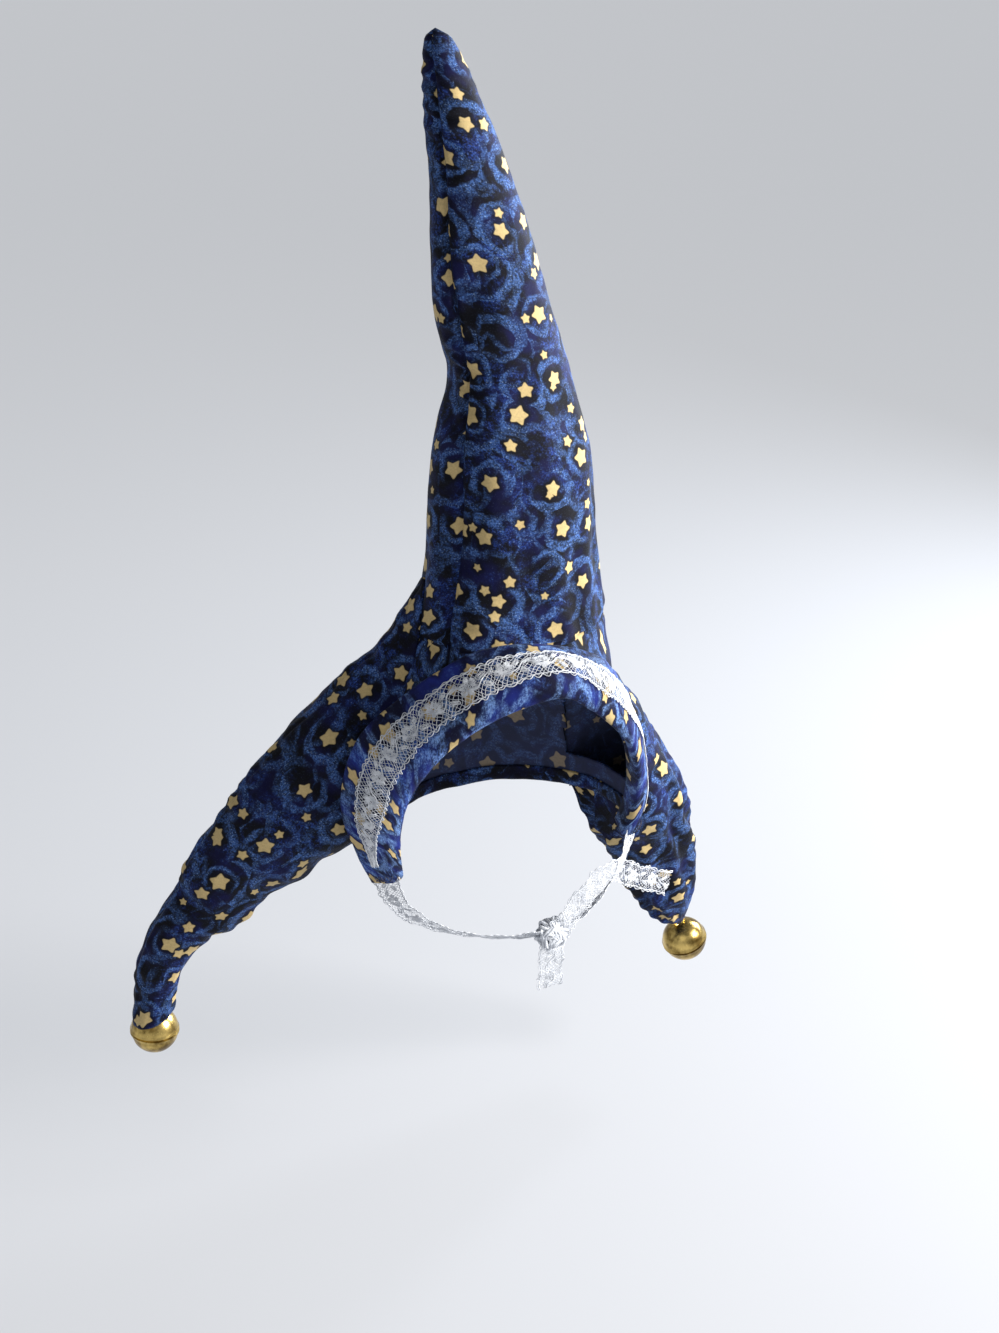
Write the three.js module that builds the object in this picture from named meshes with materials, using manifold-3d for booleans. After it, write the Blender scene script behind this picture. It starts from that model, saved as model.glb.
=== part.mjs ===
// A three-pointed costume hat for a small pet, sewn from printed cotton.
// A deep crown is open below and at the face. It carries a tall peak and two drooping tails with bells.
// A brim turned up round the face carries lace, and lace ties hang from its two ends.
// Millimetres, +Z up, the face opening toward -Y, +X to the right of someone who faces the hat.
// The origin is the middle of the head opening, level with the crown's lower edge.

import * as THREE from "three";
import { mergeVertices } from "three/addons/utils/BufferGeometryUtils.js";
import Module from "manifold-3d";

const wasm = await Module();
wasm.setup();

// Driving sizes
const CLOTH = 1.6; // cotton wall with its seam allowances
const GAP = 0.3; // kept between pieces that meet
const PEAK_SEAM_Z = 92; // where the peak is sewn to the crown
const BODY_SIDES = 32;
const TAIL_SIDES = 20;
const BELOW_RIM = 8; // how far the head hollow's cutter runs past the rim
const PAST_TAIL = 3; // how far a tail's hollow runs past its end, which the bell closes
const LEAST_HALF = 0.8; // no section shrinks below this
const FAR = 400; // past every edge of the hat, for the blocks that cut it
const TINY = 1e-6;
const TAIL_MOUTH = { low: 14, high: 86 }; // levels between which a tail opens into the crown

const BRIM_THICK = 2.0; // folded double cloth
const BRIM_STEPS = 30;
const BRIM_ROWS_ACROSS = 6;
const BRIM_ROLL = 0.7; // under 1, the bulge leans toward the folded edge
const LACE_THICK = 0.9;
const LACE_LIFT = 0.6; // of the lace off the brim, whose face twists a little
const LACE_FROM_ROW = 2; // the brim's rows that the lace covers, counted from the folded edge
const LACE_TO_ROW = 4;
const LACE_BARE_STEPS = 1; // steps of the brim left bare at each end
const LACE_HOLES = 26; // in two rows, between two shares of the brim's length
const LACE_HOLES_FROM = 0.1;
const LACE_HOLES_TO = 0.93;
const LACE_HOLE_ROWS = [0.7, 0.3]; // shares of the lace's width
const LACE_HOLE_R = 1.5;
const PIN_LENGTH = 4; // of the pins that pierce lace
const PIN_SIDES = 6;

const TIE_TOP_Z = -9.4; // under the brim's two ends
const TIE_WIDTH = 10;
const TIE_THICK = 1.0;
const TIE_STEP = 6; // between the sections of a tie
const TIE_HOLE_PITCH = 12;
const TIE_HOLE_R = 1.6;

const BELL_R = 9.5;
const BELL_WALL = 0.8;
const BELL_RIB = 0.45; // the crimped seam round the bell's middle
const BELL_SLOT = 2.0;
const BELL_HOLE_R = 2.1; // round end of the slot
const BELL_HOLE_DROP = 3.2; // of that hole below the bell's middle
const LOOP_R = 2.4; // the soldered wire loop, to the middle of its wire
const LOOP_WIRE_R = 0.7;
const PELLET_R = 2.6;
const BELL_SIDES = 16;
const PELLET_SIDES = 10;

// Crown and peak: one row a level, with half its width, its reach to the front and back, and its shift.
const BODY_ROWS = [
  { z: 0, half: 50, front: 40, back: 46, shiftX: 0, shiftY: 0 },
  { z: 22, half: 52, front: 47, back: 48, shiftX: -2, shiftY: 0 },
  { z: 44, half: 48.5, front: 51.5, back: 47, shiftX: -5, shiftY: 0 },
  { z: 62, half: 44.5, front: 50, back: 44, shiftX: -6.3, shiftY: 0 },
  { z: 74, half: 42, front: 47, back: 40, shiftX: -4.7, shiftY: 0 },
  { z: 83, half: 39.5, front: 42.5, back: 36, shiftX: -3, shiftY: 0 },
  { z: 87.5, half: 38.3, front: 34.5, back: 34, shiftX: -1.7, shiftY: 0 },
  { z: 92, half: 37.6, front: 28, back: 32, shiftX: -0.4, shiftY: 0 },
  { z: 102, half: 36, front: 25.5, back: 28.5, shiftX: 0, shiftY: 0 },
  { z: 118, half: 33.5, front: 24, back: 25.5, shiftX: 0.5, shiftY: 0 },
  { z: 139, half: 31.6, front: 22.5, back: 23, shiftX: 0.5, shiftY: 0 },
  { z: 159, half: 29.4, front: 21, back: 21, shiftX: 0, shiftY: 0 },
  { z: 173, half: 26.6, front: 19.6, back: 19.6, shiftX: -0.7, shiftY: 0.4 },
  { z: 187, half: 24, front: 18, back: 18, shiftX: -1.8, shiftY: 0.8 },
  { z: 200, half: 22.2, front: 17, back: 17, shiftX: -3.6, shiftY: 1.2 },
  { z: 215, half: 21, front: 16, back: 16, shiftX: -6.6, shiftY: 2 },
  { z: 234, half: 18.6, front: 14.5, back: 14.5, shiftX: -9.8, shiftY: 3.5 },
  { z: 259, half: 14.2, front: 11.5, back: 11.5, shiftX: -13.5, shiftY: 5 },
  { z: 283, half: 9.8, front: 8.8, back: 8.8, shiftX: -18.5, shiftY: 6.5 },
  { z: 299, half: 6.4, front: 6, back: 6, shiftX: -22, shiftY: 7.5 },
  { z: 305.5, half: 3.8, front: 3.6, back: 3.6, shiftX: -23.6, shiftY: 8 },
  { z: 308, half: 1.6, front: 1.6, back: 1.6, shiftX: -24.2, shiftY: 8.2 },
];

// Dents and creases of the crown and peak. The turn runs from the front, 0, toward +X, in degrees.
const BODY_FOLDS = [
  { z: 187, turn: -88, tall: 11, wide: 34, depth: 4.5 },
  { z: 214, turn: -40, tall: 9, wide: 24, depth: 1.6 },
  { z: 176, turn: 30, tall: 9, wide: 30, depth: 1.5 },
  { z: 135, turn: -52, tall: 22, wide: 15, depth: 2.0 },
  { z: 128, turn: 140, tall: 26, wide: 26, depth: 2.2 },
  { z: 60, turn: 180, tall: 24, wide: 20, depth: 2.5 },
];

// Tails: one row a section, with its middle, half its height and half its depth.
const LEFT_TAIL_ROWS = [
  { x: -6, y: 5, z: 74, tall: 44, deep: 14 },
  { x: -28, y: 7.5, z: 58, tall: 36.5, deep: 18 },
  { x: -45, y: 9.5, z: 47.5, tall: 33, deep: 20 },
  { x: -60, y: 11, z: 38, tall: 29.5, deep: 19.5 },
  { x: -75, y: 14, z: 26, tall: 26.5, deep: 18.5 },
  { x: -91, y: 18, z: 9.5, tall: 23, deep: 16.5 },
  { x: -104.5, y: 23, z: -4.5, tall: 19, deep: 14 },
  { x: -113.5, y: 27, z: -18, tall: 15.6, deep: 12 },
  { x: -124.2, y: 31, z: -30.5, tall: 11.4, deep: 9.8 },
  { x: -132.2, y: 34.5, z: -43.5, tall: 9.3, deep: 8.4 },
  { x: -135.2, y: 37, z: -56.5, tall: 8.6, deep: 7.9 },
  { x: -136.8, y: 39.4, z: -70.6, tall: 7.8, deep: 7.3 },
];
const RIGHT_TAIL_ROWS = [
  { x: 18, y: 7, z: 50, tall: 25, deep: 16 },
  { x: 32, y: 10, z: 36, tall: 26, deep: 19 },
  { x: 47, y: 15, z: 17, tall: 23.5, deep: 19.5 },
  { x: 60.6, y: 20, z: -2.5, tall: 21.4, deep: 18.5 },
  { x: 69, y: 24, z: -18, tall: 20, deep: 16.5 },
  { x: 76.5, y: 28.5, z: -36, tall: 17.6, deep: 14 },
  { x: 83.6, y: 33.5, z: -56, tall: 14.4, deep: 11.5 },
  { x: 88.8, y: 36.5, z: -70.5, tall: 10, deep: 8.5 },
  { x: 93.4, y: 38.5, z: -79.6, tall: 5.8, deep: 5.4 },
];

// Folds across the tails, placed by their share of the length. A turn of 0 is the back and 180 the front.
const LEFT_TAIL_FOLDS = [
  { along: 0.36, turn: 160, tall: 0.05, wide: 45, depth: 2.5 },
  { along: 0.52, turn: -145, tall: 0.05, wide: 50, depth: 2.2 },
  { along: 0.66, turn: 150, tall: 0.04, wide: 40, depth: 1.8 },
];
const RIGHT_TAIL_FOLDS = [
  { along: 0.45, turn: -150, tall: 0.06, wide: 30, depth: 2.4 },
  { along: 0.6, turn: 140, tall: 0.06, wide: 28, depth: 2.2 },
  { along: 0.72, turn: -30, tall: 0.05, wide: 45, depth: 1.8 },
];

// Brim: one row a station from the left end to the right, with its folded edge, its free edge and its bulge.
const BRIM_STATIONS = [
  { fold: [-47, -1, -8], free: [-57, 0, -7], bulge: 1 },
  { fold: [-51, -10, 10], free: [-66, -8, 14], bulge: 2 },
  { fold: [-52, -18, 28], free: [-72, -12, 36], bulge: 3 },
  { fold: [-48, -25, 45], free: [-66, -14, 60], bulge: 3.5 },
  { fold: [-38, -33.5, 62], free: [-50, -17, 75], bulge: 4 },
  { fold: [-21, -42, 76], free: [-25.5, -24.5, 91.5], bulge: 4.4 },
  { fold: [0, -46.5, 82], free: [-0.2, -29.8, 92.6], bulge: 4.4 },
  { fold: [15, -41.8, 72.5], free: [17.4, -32, 87.8], bulge: 3.2 },
  { fold: [27.4, -35.4, 60], free: [32.4, -22.5, 72.4], bulge: 2.4 },
  { fold: [38.1, -28.1, 45.8], free: [43.2, -10.5, 52.8], bulge: 2 },
  { fold: [45.9, -17.9, 26.1], free: [52, -2, 30.4], bulge: 1.8 },
  { fold: [50.2, -7.3, 5.4], free: [55, -1.6, 10.6], bulge: 1.5 },
  { fold: [49.2, -1.5, -8], free: [55, 1, -7.4], bulge: 1 },
];
const FACE_TOP = { y: -45.7, z: 82 }; // the face opening's plane passes here and at its low ends
const FACE_LOW = { y: 0.6, z: -8 };

// Ties: one row a point of the ribbon's middle line, with the way its face looks there.
const LEFT_TIE_ROWS = [
  { at: [-52.4, -0.6, -8.4], face: [-0.6, -0.8, 0] },
  { at: [-47, -4, -20], face: [-0.6, -0.7, -0.3] },
  { at: [-32, -11, -29.5], face: [-0.25, -0.6, -0.75] },
  { at: [-12, -17, -34], face: [0, -0.6, -0.8] },
  { at: [5, -19.6, -35], face: [0, -0.7, -0.7] },
];
const RIGHT_TIE_ROWS = [
  { at: [52, -0.8, -8.4], face: [0.6, -0.8, 0] },
  { at: [46.5, -4, -19], face: [0.6, -0.7, -0.3] },
  { at: [37, -8.5, -28.5], face: [0.35, -0.6, -0.7] },
  { at: [25, -13.6, -34.5], face: [0.1, -0.6, -0.8] },
  { at: [14, -17.8, -36.4], face: [0, -0.7, -0.7] },
];
const LONG_END_ROWS = [
  { at: [11, -23, -33.5], face: [0, -1, 0] },
  { at: [23, -22, -20], face: [0.1, -1, 0] },
  { at: [36, -17, -14.5], face: [0.2, -1, -0.1] },
  { at: [51, -9, -25], face: [0.1, -1, 0.1] },
  { at: [67, -6, -33], face: [0, -1, 0.1] },
];
const SHORT_END_ROWS = [
  { at: [9, -21, -36], face: [0, -1, 0] },
  { at: [8.4, -22.5, -46], face: [-0.1, -1, 0] },
  { at: [8, -21.5, -59], face: [0.1, -1, 0.1] },
];
const KNOT = { x: 9.5, y: -20.5, z: -35, wide: 7.5, deep: 4.5, tall: 6 };

const LEFT_BELL = { x: -136.6, y: 40.4, z: -80.6, tilt: [0, 0.03] };
const RIGHT_BELL = { x: 98.9, y: 40.5, z: -93.0, tilt: [0.1, -0.36] };

// Solids

// A closed three.js geometry as a solid that can be joined and cut.
function solid(geometry) {
  const bare = geometry.clone();
  bare.deleteAttribute("normal");
  bare.deleteAttribute("uv");
  const merged = mergeVertices(bare, 1e-4);
  const index = merged.getIndex().array;
  const kept = [];
  for (let i = 0; i < index.length; i += 3) {
    const [a, b, c] = [index[i], index[i + 1], index[i + 2]];
    if (a !== b && b !== c && c !== a) kept.push(a, b, c);
  }
  const vertProperties = new Float32Array(merged.getAttribute("position").array);
  const made = (triVerts) =>
    new wasm.Manifold(new wasm.Mesh({ numProp: 3, vertProperties, triVerts: new Uint32Array(triVerts) }));
  const first = made(kept);
  return first.volume() > 0 ? first : made(kept.reverse());
}

// A solid as a named mesh of the assembly.
function meshOf(name, body, material) {
  const { vertProperties, triVerts } = body.getMesh();
  const geometry = new THREE.BufferGeometry();
  geometry.setAttribute("position", new THREE.BufferAttribute(new Float32Array(vertProperties), 3));
  geometry.setIndex(new THREE.BufferAttribute(new Uint32Array(triVerts), 1));
  geometry.computeVertexNormals();
  const mesh = new THREE.Mesh(geometry, material);
  mesh.name = name;
  return mesh;
}

// The largest body of a cut solid, without the slivers that a cut can leave.
function mainBody(body) {
  return body.decompose().reduce((a, b) => (a.volume() > b.volume() ? a : b));
}

// A geometry with every vertex moved by a place function.
function mapped(geometry, place) {
  const position = geometry.getAttribute("position");
  const unit = new THREE.Vector3();
  for (let i = 0; i < position.count; i += 1) {
    unit.fromBufferAttribute(position, i);
    position.setXYZ(i, ...place(unit).toArray());
  }
  return geometry;
}

// A closed column of rings with radius 1 and height 0 to 1.
function unitColumn(steps, sides) {
  const profile = [new THREE.Vector2(0, 0)];
  for (let i = 0; i <= steps; i += 1) {
    profile.push(new THREE.Vector2(1, i / steps));
  }
  profile.push(new THREE.Vector2(0, 1));
  return new THREE.LatheGeometry(profile, sides);
}

// A smooth curve through one set of three columns of a table, whose parameter runs evenly over the rows.
function columns(rows, pick) {
  return new THREE.CatmullRomCurve3(rows.map((row) => new THREE.Vector3(...pick(row))));
}

// A smooth hump, 1 in its middle, that fades out past the width given.
function hump(distance, width) {
  return Math.exp(-((distance / width) ** 2));
}

// How much nearer the middle a wall point lies for the folds round it.
function foldDepth(folds, along, turn) {
  let depth = 0;
  for (const fold of folds) {
    const apart = THREE.MathUtils.euclideanModulo(turn - fold.turn + 180, 360) - 180;
    depth += fold.depth * hump(along - fold.at, fold.tall) * hump(apart, fold.wide);
  }
  return depth;
}

// Crown and peak

const bodySize = columns(BODY_ROWS, (row) => [row.half, row.front, row.back]);
const bodySpine = columns(BODY_ROWS, (row) => [row.shiftX, row.shiftY, row.z]);
const bodyFolds = BODY_FOLDS.map((fold) => ({ ...fold, at: fold.z }));

// The full crown and peak, grown or shrunk by an offset, with its foot moved down.
function bodySolid(offset, footDrop) {
  const steps = BODY_ROWS.length - 1;
  const place = (unit) => {
    const size = bodySize.getPoint(unit.y);
    const middle = bodySpine.getPoint(unit.y);
    const turn = THREE.MathUtils.radToDeg(Math.atan2(unit.x, unit.z));
    const reach = unit.z > 0 ? size.y : size.z;
    const dent = foldDepth(bodyFolds, middle.z, turn);
    const drop = unit.y < TINY ? footDrop : 0;
    const cap = unit.y > 1 - TINY ? offset : 0;
    return new THREE.Vector3(
      middle.x + unit.x * Math.max(size.x + offset - dent, LEAST_HALF),
      middle.y - unit.z * Math.max(reach + offset - dent, LEAST_HALF),
      middle.z - drop + cap,
    );
  };
  return solid(mapped(unitColumn(steps, BODY_SIDES), place));
}

// Everything between two levels, as a block to cut with.
function levelBlock(low, high) {
  const block = new THREE.BoxGeometry(2 * FAR, 2 * FAR, high - low);
  block.translate(0, 0, (high + low) / 2);
  return solid(block);
}

// The space in front of the face opening's slanted plane.
function faceBlock() {
  const rise = new THREE.Vector2(FACE_TOP.y - FACE_LOW.y, FACE_TOP.z - FACE_LOW.z);
  const block = new THREE.BoxGeometry(FAR, FAR, FAR);
  block.translate(0, -FAR / 2, 0);
  block.rotateX(Math.atan2(-rise.x, rise.y));
  block.translate(0, FACE_TOP.y, FACE_TOP.z);
  return solid(block);
}

// Tails

// One tail, grown or shrunk by an offset. Its far end runs on by the reach given, past its last row.
function tailSolid(rows, folds, offset, reach) {
  const spine = columns(rows, (row) => [row.x, row.y, row.z]);
  const size = columns(rows, (row) => [row.tall, row.deep, 0]);
  const tailFolds = folds.map((fold) => ({ ...fold, at: fold.along }));
  const steps = rows.length - 1;
  const place = (unit) => {
    const middle = spine.getPoint(unit.y);
    const along = spine.getTangent(unit.y);
    const section = size.getPoint(unit.y);
    const up = new THREE.Vector3(along.z, 0, -along.x).normalize();
    const back = along.clone().cross(up);
    const turn = THREE.MathUtils.radToDeg(Math.atan2(unit.x, unit.z));
    const dent = foldDepth(tailFolds, unit.y, turn);
    const past = unit.y > 1 - TINY ? reach : 0;
    return middle
      .addScaledVector(up, unit.x * Math.max(section.x + offset - dent, LEAST_HALF))
      .addScaledVector(back, unit.z * Math.max(section.y + offset - dent, LEAST_HALF))
      .addScaledVector(along, past);
  };
  return solid(mapped(unitColumn(steps, TAIL_SIDES), place));
}

// Brim and its lace

const brimFold = columns(BRIM_STATIONS, (row) => row.fold);
const brimFree = columns(BRIM_STATIONS, (row) => row.free);
const brimBulge = columns(BRIM_STATIONS, (row) => [row.bulge, 0, 0]);

// A point of the brim's inner face: along it from end to end, across it from the folded to the free edge.
function brimFace(along, across) {
  const fold = brimFold.getPoint(along);
  const toFree = brimFree.getPoint(along).sub(fold);
  const out = brimFold.getTangent(along).cross(toFree).normalize();
  const lift = brimBulge.getPoint(along).x * Math.sin(Math.PI * across ** BRIM_ROLL);
  return fold.addScaledVector(toFree, across).addScaledVector(out, lift);
}

// A point off the brim's inner face, by its height along the face's own normal.
function brimPoint(along, across, height) {
  const step = 1e-3;
  const from = Math.min(along, 1 - step);
  const low = Math.min(across, 1 - step);
  const point = brimFace(along, across);
  const alongWay = brimFace(from + step, across).sub(brimFace(from, across));
  const acrossWay = brimFace(along, low + step).sub(brimFace(along, low));
  return point.addScaledVector(alongWay.cross(acrossWay).normalize(), height);
}

// A band on the brim between two shares of its width and two heights.
function brimBand(steps, rowsAcross, band) {
  const box = new THREE.BoxGeometry(1, 1, 1, steps, rowsAcross, 1);
  const place = (unit) =>
    brimPoint(
      THREE.MathUtils.lerp(band.start, band.end, unit.x + 0.5),
      THREE.MathUtils.lerp(band.from, band.to, unit.y + 0.5),
      THREE.MathUtils.lerp(band.low, band.high, unit.z + 0.5),
    );
  return solid(mapped(box, place));
}

// A short six-sided pin that stands on a face, to pierce lace with.
function piercingPin(at, facing, radius) {
  const pin = new THREE.CylinderGeometry(radius, radius, PIN_LENGTH, PIN_SIDES);
  const turn = new THREE.Quaternion().setFromUnitVectors(new THREE.Vector3(0, 1, 0), facing);
  pin.applyQuaternion(turn);
  pin.translate(at.x, at.y, at.z);
  return solid(pin);
}

function piercedLace() {
  const low = BRIM_THICK + LACE_LIFT;
  const high = low + LACE_THICK;
  const start = LACE_BARE_STEPS / BRIM_STEPS;
  const from = LACE_FROM_ROW / BRIM_ROWS_ACROSS;
  const to = LACE_TO_ROW / BRIM_ROWS_ACROSS;
  const steps = BRIM_STEPS - 2 * LACE_BARE_STEPS;
  let lace = brimBand(steps, LACE_TO_ROW - LACE_FROM_ROW, { start, end: 1 - start, from, to, low, high });
  for (let i = 0; i < LACE_HOLES; i += 1) {
    const along = THREE.MathUtils.lerp(LACE_HOLES_FROM, LACE_HOLES_TO, (i + 0.5) / LACE_HOLES);
    const across = THREE.MathUtils.lerp(from, to, LACE_HOLE_ROWS[i % 2]);
    const at = brimPoint(along, across, low);
    const facing = brimPoint(along, across, high).sub(at).normalize();
    lace = lace.subtract(piercingPin(at, facing, LACE_HOLE_R));
  }
  return lace;
}

// Ties

// A lace ribbon along a table of points and faces, pierced in a row down its middle.
function ribbon(rows) {
  const path = columns(rows, (row) => row.at);
  const steps = Math.round(path.getLength() / TIE_STEP);
  const faces = columns(rows, (row) => row.face);
  const frame = (along) => {
    const way = path.getTangent(along);
    const width = way.clone().cross(faces.getPoint(along)).normalize();
    return { width, facing: width.clone().cross(way).normalize() };
  };
  const place = (unit) => {
    const along = unit.x + 0.5;
    const { width, facing } = frame(along);
    return path
      .getPoint(along)
      .addScaledVector(width, unit.y * TIE_WIDTH)
      .addScaledVector(facing, unit.z * TIE_THICK);
  };
  let lace = solid(mapped(new THREE.BoxGeometry(1, 1, 1, steps, 1, 1), place));
  const holes = Math.floor(path.getLength() / TIE_HOLE_PITCH);
  for (let i = 0; i < holes; i += 1) {
    const along = (i + 0.5) / holes;
    lace = lace.subtract(piercingPin(path.getPoint(along), frame(along).facing, TIE_HOLE_R));
  }
  return lace;
}

function knotSolid(offset) {
  const ball = new THREE.SphereGeometry(1, 12, 7);
  ball.scale(KNOT.wide + offset, KNOT.deep + offset, KNOT.tall + offset);
  ball.translate(KNOT.x, KNOT.y, KNOT.z);
  return solid(ball);
}

// Bells

function ballProfile(radius, rib, arcs) {
  const points = [];
  for (let i = 0; i <= arcs; i += 1) {
    const angle = Math.PI * (i / arcs) - Math.PI / 2;
    const out = radius + (i === arcs / 2 ? rib : 0);
    points.push(new THREE.Vector2(Math.max(out * Math.cos(angle), 0), radius * Math.sin(angle)));
  }
  points[0].x = 0;
  points[arcs].x = 0;
  return points;
}

function lathedBall(radius, rib, sides) {
  const ball = new THREE.LatheGeometry(ballProfile(radius, rib, sides / 2), sides);
  ball.rotateX(Math.PI / 2);
  return solid(ball);
}

// A hollow bell about the origin with its loop on top: a slot crosses its lower half between two round holes.
function bellSolid() {
  const through = 3 * BELL_R;
  const slot = new THREE.BoxGeometry(through, BELL_SLOT, BELL_R);
  slot.translate(0, 0, -BELL_R / 2 - BELL_HOLE_DROP);
  const hole = new THREE.CylinderGeometry(BELL_HOLE_R, BELL_HOLE_R, through, 10);
  hole.rotateZ(Math.PI / 2);
  hole.translate(0, 0, -BELL_HOLE_DROP);
  const loop = new THREE.TorusGeometry(LOOP_R, LOOP_WIRE_R, 6, 12);
  loop.rotateX(Math.PI / 2);
  loop.translate(0, 0, BELL_R + LOOP_R - LOOP_WIRE_R);
  return lathedBall(BELL_R, BELL_RIB, BELL_SIDES)
    .add(solid(loop))
    .subtract(lathedBall(BELL_R - BELL_WALL, 0, BELL_SIDES))
    .subtract(solid(slot))
    .subtract(solid(hole));
}

function pelletSolid() {
  return lathedBall(PELLET_R, 0, PELLET_SIDES);
}

// A bell's place in the hat: its middle and its lean about X and Y.
function hung(mesh, bellPlace) {
  mesh.position.set(bellPlace.x, bellPlace.y, bellPlace.z);
  mesh.rotation.set(bellPlace.tilt[0], bellPlace.tilt[1], 0);
  return mesh;
}

// Materials

const printedCotton = new THREE.MeshStandardMaterial({ color: 0x16204e, roughness: 0.85, metalness: 0 });
const whiteLace = new THREE.MeshStandardMaterial({ color: 0xe9e6df, roughness: 0.9, metalness: 0 });
const goldBrass = new THREE.MeshStandardMaterial({ color: 0xd9b45a, roughness: 0.25, metalness: 1 });
const steel = new THREE.MeshStandardMaterial({ color: 0x9a9a9e, roughness: 0.35, metalness: 1 });

// Assembly

const bodyOuter = bodySolid(0, 0);
const bodyInner = bodySolid(-CLOTH, BELOW_RIM);
const bodyGrown = bodySolid(GAP, 0);
const leftOuter = tailSolid(LEFT_TAIL_ROWS, LEFT_TAIL_FOLDS, 0, 0);
const leftInner = tailSolid(LEFT_TAIL_ROWS, LEFT_TAIL_FOLDS, -CLOTH, PAST_TAIL);
const leftGrown = tailSolid(LEFT_TAIL_ROWS, LEFT_TAIL_FOLDS, GAP, 0);
const rightOuter = tailSolid(RIGHT_TAIL_ROWS, RIGHT_TAIL_FOLDS, 0, 0);
const rightInner = tailSolid(RIGHT_TAIL_ROWS, RIGHT_TAIL_FOLDS, -CLOTH, PAST_TAIL);
const rightGrown = tailSolid(RIGHT_TAIL_ROWS, RIGHT_TAIL_FOLDS, GAP, 0);

const tailMouths = leftInner.add(rightInner).intersect(levelBlock(TAIL_MOUTH.low, TAIL_MOUTH.high));
const bodyWall = bodyOuter.subtract(bodyInner);
const crown = bodyWall
  .intersect(levelBlock(-FAR, PEAK_SEAM_Z - GAP / 2))
  .subtract(tailMouths)
  .subtract(faceBlock());
const peak = bodyWall.intersect(levelBlock(PEAK_SEAM_Z + GAP / 2, FAR));
const leftTail = leftOuter.subtract(leftInner).subtract(bodyGrown);
const rightTail = rightOuter.subtract(rightInner).subtract(bodyGrown);

const brimShape = { start: 0, end: 1, from: 0, to: 1, low: 0, high: BRIM_THICK };
const brim = brimBand(BRIM_STEPS, BRIM_ROWS_ACROSS, brimShape)
  .subtract(bodyGrown)
  .subtract(leftGrown)
  .subtract(rightGrown);
const knotGrown = knotSolid(GAP);
const underBrim = levelBlock(-FAR, TIE_TOP_Z);

const hat = new THREE.Group();
hat.add(meshOf("crown", mainBody(crown), printedCotton));
hat.add(meshOf("peak", mainBody(peak), printedCotton));
hat.add(meshOf("left_tail", mainBody(leftTail), printedCotton));
hat.add(meshOf("right_tail", mainBody(rightTail), printedCotton));
hat.add(meshOf("brim", mainBody(brim), printedCotton));
hat.add(meshOf("brim_lace", mainBody(piercedLace().subtract(bodyGrown).subtract(rightGrown)), whiteLace));
const leftTie = ribbon(LEFT_TIE_ROWS).intersect(underBrim).subtract(knotGrown);
const rightTie = ribbon(RIGHT_TIE_ROWS).intersect(underBrim).subtract(knotGrown);
hat.add(meshOf("left_tie", mainBody(leftTie), whiteLace));
hat.add(meshOf("right_tie", mainBody(rightTie), whiteLace));
hat.add(meshOf("tie_knot", knotSolid(0), whiteLace));
hat.add(meshOf("long_tie_end", mainBody(ribbon(LONG_END_ROWS).subtract(knotGrown)), whiteLace));
hat.add(meshOf("short_tie_end", mainBody(ribbon(SHORT_END_ROWS).subtract(knotGrown)), whiteLace));
const pelletDrop = BELL_R - BELL_WALL - PELLET_R - GAP;
for (const [side, place] of [
  ["left", LEFT_BELL],
  ["right", RIGHT_BELL],
]) {
  hat.add(hung(meshOf(`${side}_bell`, bellSolid(), goldBrass), place));
  const pellet = hung(meshOf(`${side}_pellet`, pelletSolid(), steel), place);
  pellet.translateZ(-pelletDrop);
  hat.add(pellet);
}

export default hat;
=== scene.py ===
"""Dresses a three-pointed costume hat: printed cotton, lace trim, lace ties and two jingle bells.

Sizes are in millimetres until a mesh is made. +Z is up, the face opening looks along -Y, and the origin is
the middle of the head opening, level with the crown's lower edge.
"""

import logging
import math
from collections.abc import Callable
from dataclasses import dataclass
from enum import Enum

import bmesh
import bpy
import numpy as np
from mathutils import Euler, Matrix, Vector, noise

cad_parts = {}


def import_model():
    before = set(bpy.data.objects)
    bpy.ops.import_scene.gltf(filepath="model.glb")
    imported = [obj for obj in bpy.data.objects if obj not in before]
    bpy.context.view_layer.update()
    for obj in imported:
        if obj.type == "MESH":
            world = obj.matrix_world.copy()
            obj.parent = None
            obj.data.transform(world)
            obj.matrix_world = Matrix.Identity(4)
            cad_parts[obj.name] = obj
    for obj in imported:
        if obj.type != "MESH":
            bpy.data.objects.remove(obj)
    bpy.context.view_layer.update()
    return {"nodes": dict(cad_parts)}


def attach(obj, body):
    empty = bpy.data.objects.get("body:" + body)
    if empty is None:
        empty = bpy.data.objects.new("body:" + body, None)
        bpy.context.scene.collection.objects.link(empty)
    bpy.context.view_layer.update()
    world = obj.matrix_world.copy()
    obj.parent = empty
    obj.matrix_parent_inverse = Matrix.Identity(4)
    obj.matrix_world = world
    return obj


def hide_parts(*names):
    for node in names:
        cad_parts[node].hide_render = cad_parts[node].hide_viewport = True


LOG = logging.getLogger("hat")
BODY = "root"
MM = 0.001
FULL_TURN = 2.0 * math.pi
BLACK = (0.0, 0.0, 0.0, 1.0)
CHART = "Print"
# How far apart two panels of one piece were cut from the cloth, in metres.
PANEL_APART = 0.31
# The way from the face opening into the hat.
FACE_IN = (0.0, 0.889, 0.4575)
THREAD_SIDES = 6
STITCH_RADIUS = 0.2
Array = np.ndarray
Shape = Callable[[Array, Array], Array]
Lay = Callable[[Array], Array]
Triple = tuple[float, float, float]
Tone = tuple[int, int, int]
BMesh = bmesh.types.BMesh
Piece = bpy.types.Object
Material = bpy.types.Material
Socket = bpy.types.NodeSocket


class Slot(Enum):
    """Names of material slots."""

    COTTON = "printed_cotton"
    LACE = "white_lace"
    BELL = "gold_bell"
    PELLET = "pellet_steel"


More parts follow.
